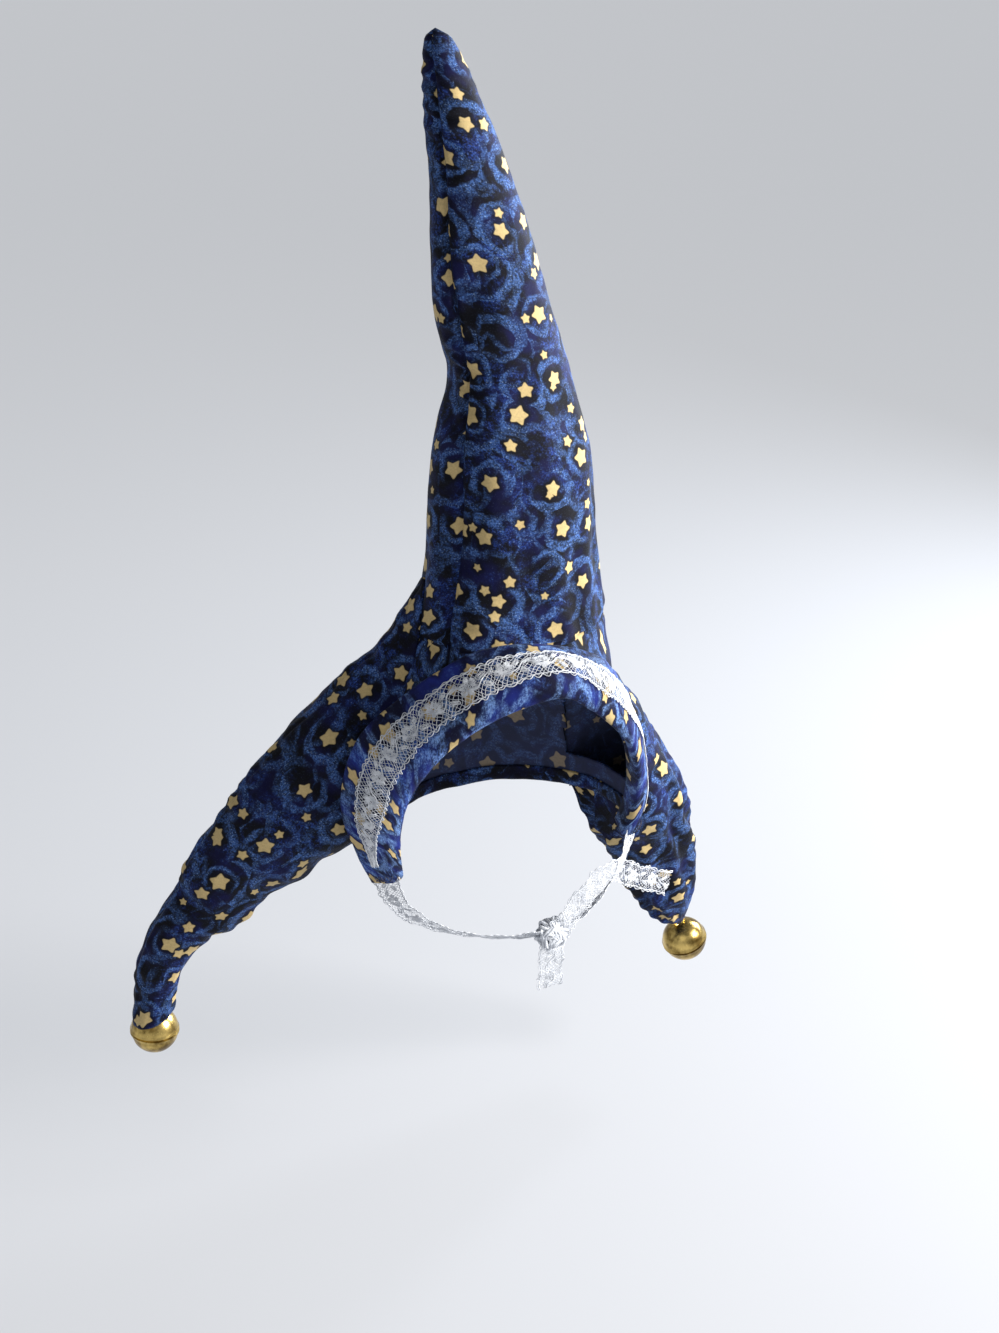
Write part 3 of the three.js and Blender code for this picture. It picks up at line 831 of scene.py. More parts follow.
@dataclass(frozen=True)
class PrintedCotton:
    """Near-black blue cotton with sponged blue rings round fat gold stars, drawn on its own chart."""

    name: str = "printed_cotton"
    night: Tone = (3, 4, 14)
    indigo: Tone = (10, 13, 56)
    haze: Tone = (34, 60, 130)
    curl: Tone = (66, 100, 160)
    fleck: Tone = (150, 178, 218)
    gold: Tone = (198, 174, 122)
    worn_tone: Tone = (62, 68, 96)
    faded: float = 0.0
    weave: float = 0.45
    weave_high: float = 0.35
    weave_shade: float = 0.93
    large_stars: Stars = Stars(Scatter(19.0, 0.66), 3.1, 4.1, 0.9)
    small_stars: Stars = Stars(Scatter(12.5, 0.8, (57.0, 131.0, 0.0)), 1.6, 2.9, 0.42)
    notch: float = 0.6
    blunt: float = 0.9
    star_edge: tuple[float, float] = (0.3, -0.3)
    halo_edge: tuple[float, float] = (2.2, 0.2)
    halo_dark: float = 0.75
    ring_points: Scatter = Scatter(17.0, 0.9, (190.0, 63.0, 0.0))
    ring_pitch: float = 6.6
    ring_spread: float = 3.0
    ring_lean: float = 0.21
    ring_edge: tuple[float, float] = (-0.5, 0.55)
    ring_start: tuple[float, float] = (4.4, 6.0)
    ring_gap: tuple[float, float] = (-0.8, -0.1)
    ring_fade: float = 0.75
    star_ring_reach: float = 15.0
    free_ring_reach: float = 11.0
    free_ring_part: float = 0.55
    stray: Mottle = Mottle(7.0)
    stray_far: float = 6.0
    grain: Mottle = Mottle(0.8, 3.0, 0.7, 0.40, 0.62)
    blot: Mottle = Mottle(3.2, 4.0, 0.66, 0.38, 0.62)
    patch: Mottle = Mottle(17.0, 3.0, 0.6, 0.44, 0.66)
    cloud: Mottle = Mottle(12.0, 3.0, 0.6, 0.47, 0.66, (311.0, 77.0, 5.0))
    spray: Mottle = Mottle(0.6, 2.0, 0.6, 0.58, 0.70, (17.0, 31.0, 3.0))
    rubbed: Mottle = Mottle(0.9, 3.0, 0.7)
    lumps: Mottle = Mottle(2.2, 3.0, 0.6)
    lump_high: float = 1.3

    def star(self, graph: Graph, spots: Spots, stars: Stars) -> tuple[Socket, Socket]:
        """Draws a blunt five-pointed star on each point of a scatter.

        Args:
            graph: the material.
            spots: the scatter.
            stars: the stars' sizes.

        Returns:
            A mask that is 1 on a star, and one for the dark ground round it.
        """
        fifth = FULL_TURN / 5.0
        turned = graph.math("MULTIPLY_ADD", spots.dice["Red"], FULL_TURN, spots.angle)
        wedge = graph.math("FLOORED_MODULO", turned, fifth)
        off_tip = graph.math("ABSOLUTE", graph.math("SUBTRACT", wedge, fifth / 2.0))
        inner = graph.math("SINE", graph.math("SUBTRACT", fifth / 2.0, off_tip))
        below = graph.math("MULTIPLY_ADD", inner, self.notch, graph.math("SINE", off_tip))
        pointed = graph.math("DIVIDE", self.notch * math.sin(fifth / 2.0), below)
        reach = graph.math("MINIMUM", pointed, self.blunt)
        radius = graph.span(spots.dice["Green"], stars.least, stars.most)
        edge = graph.math("SUBTRACT", spots.away, graph.product(reach, radius))
        shown = graph.math("LESS_THAN", spots.dice["Blue"], stars.kept)
        drawn = graph.product(graph.step(edge, *self.star_edge), shown)
        halo = graph.product(graph.step(edge, *self.halo_edge), shown)
        return drawn, halo

    def rings(self, graph: Graph, spots: Spots, drift: object, reach: float) -> Socket:
        """Draws broken rings round each point of a scatter.

        Args:
            graph: the material.
            spots: the scatter.
            drift: how far the brush strayed at each place, in millimetres.
            reach: the radius that the rings end at.

        Returns:
            A mask that is 1 on a ring.
        """
        away = graph.math("ADD", spots.away, drift)
        turns = graph.product(away, FULL_TURN / self.ring_pitch)
        phase = graph.math("MULTIPLY_ADD", spots.dice["Green"], self.ring_spread, turns)
        band = graph.step(graph.math("SINE", phase), *self.ring_edge)
        clear_of_star = graph.step(away, *self.ring_start)
        inside = graph.step(away, reach, reach * self.ring_fade)
        lean = graph.math("MULTIPLY_ADD", away, self.ring_lean, spots.angle)
        swing = graph.math("SINE", graph.math("MULTIPLY_ADD", spots.dice["Blue"], FULL_TURN, lean))
        opened = graph.step(swing, *self.ring_gap)
        return graph.product(band, inside, clear_of_star, opened)

    def drawing(self, graph: Graph, place: object) -> tuple[Socket, Socket]:
        """Draws the print.

        Args:
            graph: the material.
            place: the place on the cloth in millimetres.

        Returns:
            The print's colour, and a mask that is 1 on a star.
        """
        stray = graph.math("SUBTRACT", graph.noise(place, self.stray), 0.5)
        drift = graph.product(stray, self.stray_far)
        grain = graph.mask(place, self.grain)
        blot = graph.mask(place, self.blot)
        mottled = graph.product(graph.mask(place, self.cloud), graph.span(grain, 0.2, 1.0), blot)
        ground = graph.blend(graph.mask(place, self.patch), colour(*self.night), colour(*self.indigo))
        hazy = graph.blend(mottled, ground, colour(*self.haze))
        large_spots = Spots(graph, place, self.large_stars.scatter)
        small_spots = Spots(graph, place, self.small_stars.scatter)
        ring_spots = Spots(graph, place, self.ring_points)
        around = self.rings(graph, large_spots, drift, self.star_ring_reach)
        between = self.rings(graph, ring_spots, drift, self.free_ring_reach)
        drawn = graph.math("MAXIMUM", around, graph.product(between, self.free_ring_part))
        touched = graph.product(drawn, graph.span(grain, 0.3, 1.0), graph.span(blot, 0.3, 1.0))
        curled = graph.blend(touched, hazy, colour(*self.curl))
        wet = graph.math("MULTIPLY_ADD", drawn, 0.5, graph.math("MULTIPLY_ADD", mottled, 0.4, 0.04))
        sprayed = graph.product(graph.mask(place, self.spray), wet)
        flecked = graph.blend(sprayed, curled, colour(*self.fleck))
        stars, near_stars = self.star(graph, large_spots, self.large_stars)
        dots, near_dots = self.star(graph, small_spots, self.small_stars)
        shown = graph.math("MAXIMUM", stars, dots)
        halo = graph.product(graph.math("MAXIMUM", near_stars, near_dots), self.halo_dark)
        sunk = graph.blend(halo, flecked, colour(*self.night))
        rubbed = graph.span(graph.noise(place, self.rubbed), 0.55, 1.2)
        return graph.blend(graph.product(shown, rubbed), sunk, colour(*self.gold)), shown

    def material(self) -> Material:
        """Builds the finish.

        Returns:
            The material.
        """
        graph = Graph(self.name)
        chart = graph.add("ShaderNodeUVMap", uv_map=CHART)
        place = graph.scaled(chart.outputs["UV"], 1.0 / MM)
        starry, shown = self.drawing(graph, place)
        axes = graph.add("ShaderNodeSeparateXYZ", {0: place}).outputs
        beat = FULL_TURN / self.weave
        warp = graph.math("SINE", graph.product(axes["X"], beat))
        weft = graph.math("SINE", graph.product(axes["Y"], beat))
        cross = graph.product(warp, weft)
        shaded = graph.blend(graph.span(cross, self.weave_shade, 1.0), BLACK, starry)
        final = graph.blend(self.faded, shaded, colour(*self.worn_tone)) if self.faded else shaded
        lumps = graph.product(graph.noise(place, self.lumps), self.lump_high)
        height = graph.math("MULTIPLY_ADD", cross, self.weave_high, lumps)
        graph.bump(height, distance=0.16, strength=0.55)
        graph.set(Base_Color=final, Roughness=graph.span(shown, 0.72, 0.56), Specular_IOR_Level=0.12,
                  Sheen_Weight=0.08, Sheen_Roughness=0.25, Sheen_Tint=(0.55, 0.7, 1.0, 1.0))
        return graph.material


@dataclass(frozen=True)
class TwoTone:
    """A finish of two tones in soft patches, with a fine roughness."""

    name: str
    first: Tone
    second: Tone
    patches: Mottle
    grit: Mottle
    smooth: float
    rough: float
    bump_high: float
    bump_strength: float
    metal: float = 0.0
    sheen: float = 0.0

    def material(self) -> Material:
        """Builds the finish.

        Returns:
            The material.
        """
        graph = Graph(self.name)
        place = graph.place()
        patches = graph.mask(place, self.patches)
        grit = graph.noise(place, self.grit)
        tone = graph.blend(patches, colour(*self.first), colour(*self.second))
        graph.bump(grit, self.bump_high, self.bump_strength)
        graph.set(Base_Color=tone, Roughness=graph.span(grit, self.smooth, self.rough),
                  Metallic=self.metal, Sheen_Weight=self.sheen)
        return graph.material


LACE_THREAD = TwoTone(
    name="white_lace", first=(175, 179, 187), second=(214, 217, 222),
    patches=Mottle(3.0, 3.0, 0.6, 0.3, 0.7), grit=Mottle(0.35, 2.0, 0.6),
    smooth=0.72, rough=0.92, bump_high=0.12, bump_strength=0.6, sheen=0.25,
)
DARK_THREAD = TwoTone(
    name="sewing_thread", first=(10, 12, 30), second=(34, 38, 70),
    patches=Mottle(0.3, 2.0, 0.6, 0.3, 0.7), grit=Mottle(0.3, 2.0, 0.6),
    smooth=0.5, rough=0.75, bump_high=0.1, bump_strength=0.6,
)
# The dark second tone, in broad patches, is painted reflection: it stands in for the dark surroundings that
# polished gold would mirror.
GOLD_PLATE = TwoTone(
    name="gold_plate", first=(208, 180, 108), second=(104, 82, 38),
    patches=Mottle(7.0, 3.0, 0.6, 0.35, 0.7), grit=Mottle(0.6, 4.0, 0.7),
    smooth=0.12, rough=0.36, bump_high=0.05, bump_strength=0.25, metal=1.0,
)


@dataclass(frozen=True)
class DullSteel:
    """Dull grey steel for the loose balls in the bells."""

    name: str = "pellet_steel"
    dark: Tone = (120, 120, 124)
    light: Tone = (168, 168, 172)
    grit: Mottle = Mottle(0.5, 3.0, 0.6)

    def material(self) -> Material:
        """Builds the finish.

        Returns:
            The material.
        """
        graph = Graph(self.name)
        grit = graph.noise(graph.place(), self.grit)
        tone = graph.blend(grit, colour(*self.dark), colour(*self.light))
        graph.set(Base_Color=tone, Metallic=1.0, Roughness=graph.span(grit, 0.35, 0.6))
        return graph.material


@dataclass(frozen=True)
class PaleFloor:
    """A pale studio floor that glows a little, so that it stays pale beside the bright lights."""

    name: str = "pale_floor"
    first: Tone = (114, 115, 118)
    second: Tone = (118, 118, 120)
    cast: Mottle = Mottle(400.0)
    glow_tone: Tone = (240, 243, 248)
    glow: float = 0.52

    def material(self) -> Material:
        """Builds the finish.

        Returns:
            The material.
        """
        graph = Graph(self.name)
        cast = graph.noise(graph.place(), self.cast)
        tone = graph.blend(cast, colour(*self.first), colour(*self.second))
        graph.set(Base_Color=tone, Roughness=0.9, Specular_IOR_Level=0.1,
                  Emission_Color=colour(*self.glow_tone), Emission_Strength=self.glow)
        return graph.material


@dataclass(frozen=True)
class BodyForm:
    """The outer surface that crown and peak share. Turn 0 is the front and positive turns go toward +X."""

    rings: tuple[Ring, ...] = BODY_RINGS
    folds: tuple[Fold, ...] = BODY_FOLDS
    seams: tuple[Seam, ...] = (Seam(-56.0, groove=1.5, pucker=1.1), Seam(124.0))
    wrinkles: tuple[Wrinkle, ...] = (
        Wrinkle(1.1, (15.0, 15.0, 52.0), 3.7),
        Wrinkle(0.35, (6.0, 6.0, 9.0), 11.2),
    )
    calm_radius: float = 8.0
    below_tip: float = 4.0

    def sections(self, z: Array) -> Array:
        """Reads half width, front, back and the middle at each height."""
        table = columns_of(self.rings)
        return spline(table[:, 0], table[:, 1:], np.clip(z, 0.0, table[-1, 0]))

    def plain(self, turn: Array, z: Array, lift: Array) -> Array:
        """Places points round the body.

        Args:
            turn: degrees round from the front.
            z: heights.
            lift: how far each point stands out from the plain wall.

        Returns:
            One point a row.
        """
        half, front, back, shift_x, shift_y = self.sections(z).T
        angle = np.radians(turn)
        reach = np.where(np.cos(angle) > 0.0, front, back)
        fade = np.minimum(half / self.calm_radius, 1.0)
        x = shift_x + np.sin(angle) * (half + lift * fade)
        y = shift_y - np.cos(angle) * (reach + lift * fade)
        return np.stack([x, y, z], axis=1)

    def lift(self, turn: Array, z: Array) -> Array:
        """Works out how far folds, seams and wrinkles move the cloth outward.

        Args:
            turn: degrees round from the front.
            z: heights.

        Returns:
            The move at each point, in millimetres.
        """
        still = self.plain(turn, z, np.zeros_like(z))
        radius = self.sections(z)[:, 0]
        moved = -dents(self.folds, z, turn)
        for seam in self.seams:
            moved += seam.lift(z, turn, radius)
        for wrinkle in self.wrinkles:
            moved += wrinkle.lift(still)
        return moved

    def points(self, turn: Array, z: Array) -> Array:
        """Places points on the folded cloth."""
        return self.plain(turn, z, self.lift(turn, z))

    def clear(self, points: Array) -> Array:
        """Measures how far points are outside the folded wall, on the level.

        Args:
            points: one point a row.

        Returns:
            The distances in millimetres, below 0 inside.
        """
        z = np.clip(points[:, 2], 0.0, self.rings[-1].z - self.below_tip)
        half, front, back, shift_x, shift_y = self.sections(z).T
        x = points[:, 0] - shift_x
        y = points[:, 1] - shift_y
        reach = np.where(y < 0.0, front, back)
        turn = np.degrees(np.arctan2(x / half, -y / reach))
        lift = self.lift(turn, z)
        share = np.maximum(np.hypot(x / (half + lift), y / (reach + lift)), 1e-6)
        return (1.0 - 1.0 / share) * np.hypot(x, y)

    def level_out(self, points: Array) -> Array:
        """The level way out of the body at each point."""
        flat = unit(points[:, :2] - self.sections(points[:, 2])[:, 3:5])
        return np.concatenate([flat, np.zeros((len(flat), 1))], axis=1)


@dataclass(frozen=True)
class TailForm:
    """A drooping tube of cloth: turn 0 is its outer edge, 90 its back, 180 its inner edge, -90 its front."""

    bends: tuple[Bend, ...]
    folds: tuple[Fold, ...]
    outer: float
    pleats: float
    seed: float
    slant: float
    seams: tuple[Seam, ...] = (
        Seam(0.0, pucker=0.7, pitch=9.0),
        Seam(180.0, pucker=0.9, pitch=11.0, reach=9.0),
    )
    wrinkles: tuple[Wrinkle, ...] = (
        Wrinkle(1.1, (14.0, 14.0, 14.0), 4.1),
        Wrinkle(0.35, (5.0, 5.0, 5.0), 9.3),
    )
    sway: Wrinkle = Wrinkle(3.0, (22.0, 22.0, 30.0), 0.0)
    pleat_count: float = 9.0
    pleat_from: float = 0.16
    pleat_to: float = 0.4
    slant_from: float = 0.9
    calm_radius: float = 14.0

    def stations(self, share: Array) -> Array:
        """Reads the middle and half sizes along the tail."""
        table = columns_of(self.bends)
        return spline(np.linspace(0.0, 1.0, len(table)), table, np.clip(share, 0.0, 1.0))

    def axes(self, share: Array) -> tuple[Array, Array, Array]:
        """Works out the tail's own axes.

        Args:
            share: shares along.

        Returns:
            The ways along, out and back, one row a share.
        """
        small = 0.004
        along = unit(self.stations(share + small)[:, :3] - self.stations(share - small)[:, :3])
        out = unit(np.stack([along[:, 2], np.zeros(len(share)), -along[:, 0]], axis=1))
        back = np.cross(along, out)
        return along, out * self.outer, back

    def run(self, share: Array) -> Array:
        """How far along the middle line each share is, in millimetres."""
        shares = np.linspace(0.0, 1.0, 200)
        return np.interp(share, shares, run_along(self.stations(shares)[:, :3]))

    def round_length(self, turn: Array, share: Array) -> Array:
        """Measures how far round its section each turn is from the front.

        Args:
            turn: degrees round.
            share: shares along.

        Returns:
            The lengths in millimetres.
        """
        station = self.stations(share)
        front = -math.pi / 2.0
        swing = np.radians(turn) - front
        angles = front + swing[:, None] * np.linspace(0.0, 1.0, 25)
        speed = np.hypot(station[:, 3:4] * np.sin(angles), station[:, 4:5] * np.cos(angles))
        return swing * (speed[:, 1:] + speed[:, :-1]).mean(axis=1) / 2.0

    def plain(self, turn: Array, share: Array, lift: Array) -> Array:
        """Places points round the tail.

        Args:
            turn: degrees round.
            share: share along, from 0 to 1.
            lift: how far each point stands out from the plain wall.

        Returns:
            One point a row.
        """
        station = self.stations(share)
        along, out, back = self.axes(share)
        angle = np.radians(turn)[:, None]
        tall = station[:, 3:4] + lift[:, None]
        deep = station[:, 4:5] + lift[:, None]
        slip = self.slant * np.cos(angle) * smooth_step(share, self.slant_from, 1.0)[:, None]
        return station[:, :3] + out * np.cos(angle) * tall + back * np.sin(angle) * deep + along * slip

    def lift(self, turn: Array, share: Array) -> Array:
        """Works out how far folds, seams, pleats and wrinkles move the cloth outward.

        Args:
            turn: degrees round.
            share: shares along.

        Returns:
            The move at each point, in millimetres.
        """
        still = self.plain(turn, share, np.zeros_like(share))
        station = self.stations(share)
        radius = (station[:, 3] + station[:, 4]) / 2.0
        moved = -dents(self.folds, share, turn)
        for seam in self.seams:
            moved += seam.lift(self.run(share), turn, radius)
        sway = self.sway.lift(still, self.seed)
        angle = np.radians(turn)
        runs = np.cos(angle * self.pleat_count + sway) * (0.6 + 0.4 * np.cos(angle * 2.0 + sway))
        moved += self.pleats * runs * smooth_step(share, self.pleat_from, self.pleat_to)
        for wrinkle in self.wrinkles:
            moved += wrinkle.lift(still, self.seed)
        return moved * np.minimum(radius / self.calm_radius, 1.0)

    def inside(self, points: Array) -> Array:
        """Measures how far out of the tail's wide part points are.

        Args:
            points: one point a row.

        Returns:
            A number for each point, below 1 inside.
        """
        shares = np.linspace(0.0, 0.6, 90)
        near = 2.5
        far_out = 9.0
        station = self.stations(shares)
        along, out, back = self.axes(shares)
        best = np.full(len(points), far_out)
        for row in range(len(shares)):
            gap = points - station[row, :3]
            off = np.abs(gap @ along[row])
            ring = np.hypot(gap @ out[row] / station[row, 3], gap @ back[row] / station[row, 4])
            best = np.where(off < near, np.minimum(best, ring), best)
        return best


@dataclass(frozen=True)
class BrimForm:
    """The turned-up band round the face: along it from left to right, across it from fold to free edge."""

    stations: tuple[Station, ...] = BRIM_STATIONS
    proud: float = 1.8
    roll_share: float = 0.2
    roll_from: float = 0.04
    roll: float = 2.4
    flap_deep: float = 7.0
    flap_straight: float = 6.0
    flap_in: float = 2.2
    middle_z: float = 40.0
    swell_power: float = 0.7
    wave: Wrinkle = Wrinkle(0.9, (17.0, 17.0, 17.0), 21.3)
    ripple: Wrinkle = Wrinkle(0.25, (5.0, 5.0, 5.0), 2.9)

    def read(self, along: Array) -> tuple[Array, Array, Array]:
        """Reads the stations.

        Args:
            along: shares along.

        Returns:
            Fold points, free points and bulges.
        """
        table = np.array([[*row.fold, *row.free, row.bulge] for row in self.stations])
        read = spline(np.linspace(0.0, 1.0, len(table)), table, along)
        return read[:, :3], read[:, 3:6], read[:, 6:]

    def run(self, along: Array) -> Array:
        """Works out the way along the fold.

        Args:
            along: shares along.

        Returns:
            One way a row.
        """
        small = 0.004
        ahead = self.read(np.minimum(along + small, 1.0))[0]
        behind = self.read(np.maximum(along - small, 0.0))[0]
        return unit(ahead - behind)

    def middle(self, along: Array, across: Array) -> Array:
        """Places points on the band's plain face.

        Args:
            along: shares along.
            across: shares from fold to free edge.

        Returns:
            One point a row.
        """
        fold, free, bulge = self.read(along)
        out = unit(np.cross(self.run(along), free - fold))
        swell = np.sin(math.pi * np.power(np.maximum(across, 0.0), self.swell_power))[:, None]
        return fold + (free - fold) * across[:, None] + out * bulge * swell

    def normal(self, along: Array, across: Array) -> Array:
        """Works out the way out of the band's face.

        Args:
            along: shares along.
            across: shares from fold to free edge.

        Returns:
            One way a row.
        """
        small = 0.01
        left = np.clip(along - small, 0.0, 1.0)
        right = np.clip(along + small, 0.0, 1.0)
        low = np.clip(across - small, 0.0, 1.0)
        high = np.clip(across + small, 0.0, 1.0)
        run = self.middle(right, across) - self.middle(left, across)
        rise = self.middle(along, high) - self.middle(along, low)
        return unit(np.cross(run, rise))

    def face(self, along: Array, across: Array, height: float | Array) -> Array:
        """Places points over the band's face, on its waves.

        Args:
            along: shares along.
            across: shares from fold to free edge.
            height: how far over it, in millimetres.

        Returns:
            One point a row.
        """
        still = self.middle(along, across)
        wave = self.wave.lift(still) * (0.4 + 0.6 * across)
        tall = (np.asarray(height) + wave + self.ripple.lift(still))[:, None]
        return still + self.normal(along, across) * tall

    def points(self, along: Array, share: Array) -> Array:
        """Points from the flap inside the fold, round the fold and over the face.

        Args:
            along: share along the brim.
            share: 0 at the hidden flap, 1 at the free edge.

        Returns:
            One point a row.
        """
        across = np.maximum(share - self.roll_share, 0.0) / (1.0 - self.roll_share)
        shown = self.face(along, across, self.proud)
        bent = np.clip(1.0 - share / self.roll_share, 0.0, 1.0)[:, None]
        start = self.face(along, np.zeros_like(along), self.proud)
        ahead = self.face(along, np.full_like(along, self.roll_from), self.proud)
        fold = self.read(along)[0]
        inward = np.array(FACE_IN)
        out = np.cross(self.run(along), inward)
        away = out[:, 2] * (fold[:, 2] - self.middle_z) + out[:, 0] * fold[:, 0]
        out = unit(out * np.where(away > 0.0, 1.0, -1.0)[:, None])
        pull = unit(start - ahead) * self.roll
        deep = fold + inward * self.flap_deep - out * self.flap_in
        straight = deep - inward * self.flap_straight
        turned = ((1.0 - bent) ** 3 * start + 3.0 * (1.0 - bent) ** 2 * bent * (start + pull)
                  + 3.0 * (1.0 - bent) * bent**2 * straight + bent**3 * deep)
        return np.where(bent > 0.0, turned, shown)


@dataclass
class Cloth:
    """Crown, peak and tails: four pieces of one printed cotton, sewn to each other."""

    right_side: Material
    wrong_side: Material
    body: BodyForm
    left: TailForm
    right: TailForm
    thick: float = 1.1
    columns: int = 200
    crown_rows: int = 96
    peak_rows: int = 180
    seam_z: float = 92.0
    seam_lap: float = 0.6
    seam_groove: float = 0.9
    seam_wide: float = 1.4
    gathers: float = 17.0
    gather_high: float = 0.35
    gather_up: float = 3.0
    gather_tall: float = 4.0
    hem_share: float = 0.075
    hem_deep: float = 7.0
    hem_in: float = 1.7
    hem_edge: tuple[float, float] = (-0.004, 0.016)
    band_radius: float = 45.0
    tail_columns: int = 128
    tail_rows: int = 140
    root_end: float = 0.55
    root_smooth: int = 4
    rim_z: float = 1.5
    fillet: float = 8.0
    flare_rows: int = 49
    flare_low: float = -2.0
    flare_full: float = 10.0
    outside_below: float = 6.0
    sewn_in: float = 0.5
    mouth_size: float = 0.96
    mouth_low: float = 14.0
    mouth_high: float = 84.0
    face_point: Triple = (0.0, -45.7, 82.0)
    face_back: float = 1.4
    stitch_from: float = 97.0
    stitch_pitch: float = 4.2
    stitch_long: float = 0.58
    stitch_high: float = 0.5
    stitch_sunk: float = 0.25
    stitch_clear: float = 1.2
    stitch_z: float = 5.6
    wraps: int = 6
    wrap_from: float = 0.925
    wrap_to: float = 0.955
    wrap_stray: float = 0.004
    wrap_beat: float = 1.31
    wrap_proud: float = 0.1
    wrap_radius: float = 0.28

    def groove(self, z: Array) -> Array:
        """How far the seam between crown and peak is pulled in at each height."""
        return self.seam_groove * hump(z - self.seam_z, self.seam_wide)

    def crown_points(self, across: Array, along: Array) -> Array:
        """Places the crown, from inside its hem, round its edge and up to its seam.

        Args:
            across: shares round.
            along: shares along.

        Returns:
            One point a row.
        """
        hem = self.hem_share
        turned_in = (1.0 - along / hem) * self.hem_deep
        z = np.where(along < hem, turned_in, (along - hem) / (1.0 - hem) * (self.seam_z + self.seam_lap))
        turn = (across - 0.5) * 360.0
        tuck = smooth_step(hem - along, *self.hem_edge) * self.hem_in
        groove = self.groove(z) * (along > hem)
        return self.body.plain(turn, z, self.body.lift(turn, z) - tuck - groove)

    def crown_chart(self, across: Array, along: Array) -> Array:
        """Places on the uncut cloth of the crown, taken as a level band."""
        turn = (across - 0.5) * FULL_TURN
        return np.stack([turn * self.band_radius, (along - self.hem_share) * self.seam_z], axis=1)

    def peak_points(self, across: Array, along: Array) -> Array:
        """Places the peak, from its seam to its tip.

        Args:
            across: shares round.
            along: shares along.

        Returns:
            One point a row.
        """
        top = self.body.rings[-1].z
        z = self.seam_z - self.seam_lap + along * (top - self.seam_z + self.seam_lap)
        turn = self.body.seams[0].turn + across * 360.0
        near_seam = hump(z - self.seam_z - self.gather_up, self.gather_tall)
        gather = self.gather_high * np.cos(np.radians(turn) * self.gathers) * near_seam
        return self.body.plain(turn, z, self.body.lift(turn, z) - self.groove(z) + gather)

    def tail_roots(self, form: TailForm) -> tuple[Array, Array]:
        """Finds where a tail leaves the crown.

        Args:
            form: the tail.

        Returns:
            Turns round the tail, and the share along it where its wall comes out at each.
        """
        turns = np.linspace(-180.0, 180.0, 181)
        tries = np.linspace(0.0, self.root_end, 111)
        grid_turn, grid_share = np.meshgrid(turns, tries)
        walls = form.plain(grid_turn.ravel(), grid_share.ravel(), np.zeros(grid_turn.size))
        within = (self.body.clear(walls) < 0.0) & (walls[:, 2] > self.rim_z)
        last_in = len(tries) - 1 - np.argmax(within.reshape(grid_turn.shape)[::-1], axis=0)
        roots = tries[np.minimum(last_in + 1, len(tries) - 1)]
        reach = self.root_smooth
        ringed = np.concatenate([roots[-1 - reach:-1], roots, roots[1:1 + reach]])
        wide = 2 * reach + 1
        return turns, np.convolve(ringed, np.ones(wide) / wide, mode="valid")

    def tail_sheet(self, form: TailForm) -> BMesh:
        """Lays out a tail from the crown's wall to its end.

        Args:
            form: the tail.

        Returns:
            The tail's mesh.
        """
        turns, roots = self.tail_roots(form)

        def read(across: Array, along: Array) -> tuple[Array, Array]:
            """Turns the sheet's shares into places on the tail.

            Args:
                across: shares round.
                along: shares from the root.

            Returns:
                Turns, and shares of the tail.
            """
            turn = across * 360.0 - 180.0
            root = np.interp(turn, turns, roots)
            return turn, root + (1.0 - root) * along

        def points(across: Array, along: Array) -> Array:
            """Places the tail's wall, flared and sewn to the crown at its root.

            Args:
                across: shares round.
                along: shares from the root.

            Returns:
                One point a row.
            """
            turn, share = read(across, along)
            laid = form.plain(turn, share, form.lift(turn, share))
            gap = self.body.clear(laid)
            near = np.clip(gap / self.fillet, 0.0, 1.0)
            flare = self.fillet * (1.0 - np.sqrt(1.0 - (1.0 - near) ** 2))
            near_root = along < self.flare_rows / self.tail_rows
            flare *= near_root * smooth_step(laid[:, 2], self.flare_low, self.flare_full)
            sunk = (laid[:, 2] < self.outside_below) & (gap < self.thick)
            want = np.where(sunk, self.thick, np.maximum(gap, -self.sewn_in))
            laid = laid + unit(laid - form.stations(share)[:, :3]) * flare[:, None]
            for _ in range(3):
                miss = (want - self.body.clear(laid)) * ((flare > 0.0) | sunk)
                laid = laid + self.body.level_out(laid) * miss[:, None]
            return laid

        def spare_cloth() -> Array:
            """Measures the cloth that the flare takes up beyond each place near the root.

            Returns:
                The lengths in millimetres, by row and column.
            """
            shares = np.linspace(0.0, 1.0, self.tail_columns + 1)
            across, along = np.meshgrid(shares, np.arange(self.flare_rows + 1) / self.tail_rows)
            turn, share = read(across.ravel(), along.ravel())
            free = form.plain(turn, share, form.lift(turn, share)).reshape(*across.shape, 3)
            sewn = points(across.ravel(), along.ravel()).reshape(*across.shape, 3)
            steps = np.linalg.norm(np.diff(sewn, axis=0), axis=2)
            grown = steps - np.linalg.norm(np.diff(free, axis=0), axis=2)
            return np.concatenate([np.cumsum(grown[::-1], axis=0)[::-1], np.zeros((1, len(shares)))])

        spare = spare_cloth()

        def flat(across: Array, along: Array) -> Array:
            """Places the tail on the uncut cloth, counted round from the front.

            Args:
                across: shares round.
                along: shares from the root.

            Returns:
                One flat place a row.
            """
            turn, share = read(across, along)
            row = np.minimum(np.round(along * self.tail_rows).astype(int), self.flare_rows)
            column = np.round(across * self.tail_columns).astype(int)
            down = form.run(share) - spare[row, column]
            return np.stack([form.round_length(turn, share), down], axis=1) + form.seed * 7.0

        return cloth_grid(self.tail_columns, self.tail_rows, points, True, flat)

    def out_of_body(self, point: Vector) -> Vector:
        """The way out of crown and peak at a point in metres."""
        return Vector(self.body.level_out(np.array([point]) / MM)[0])

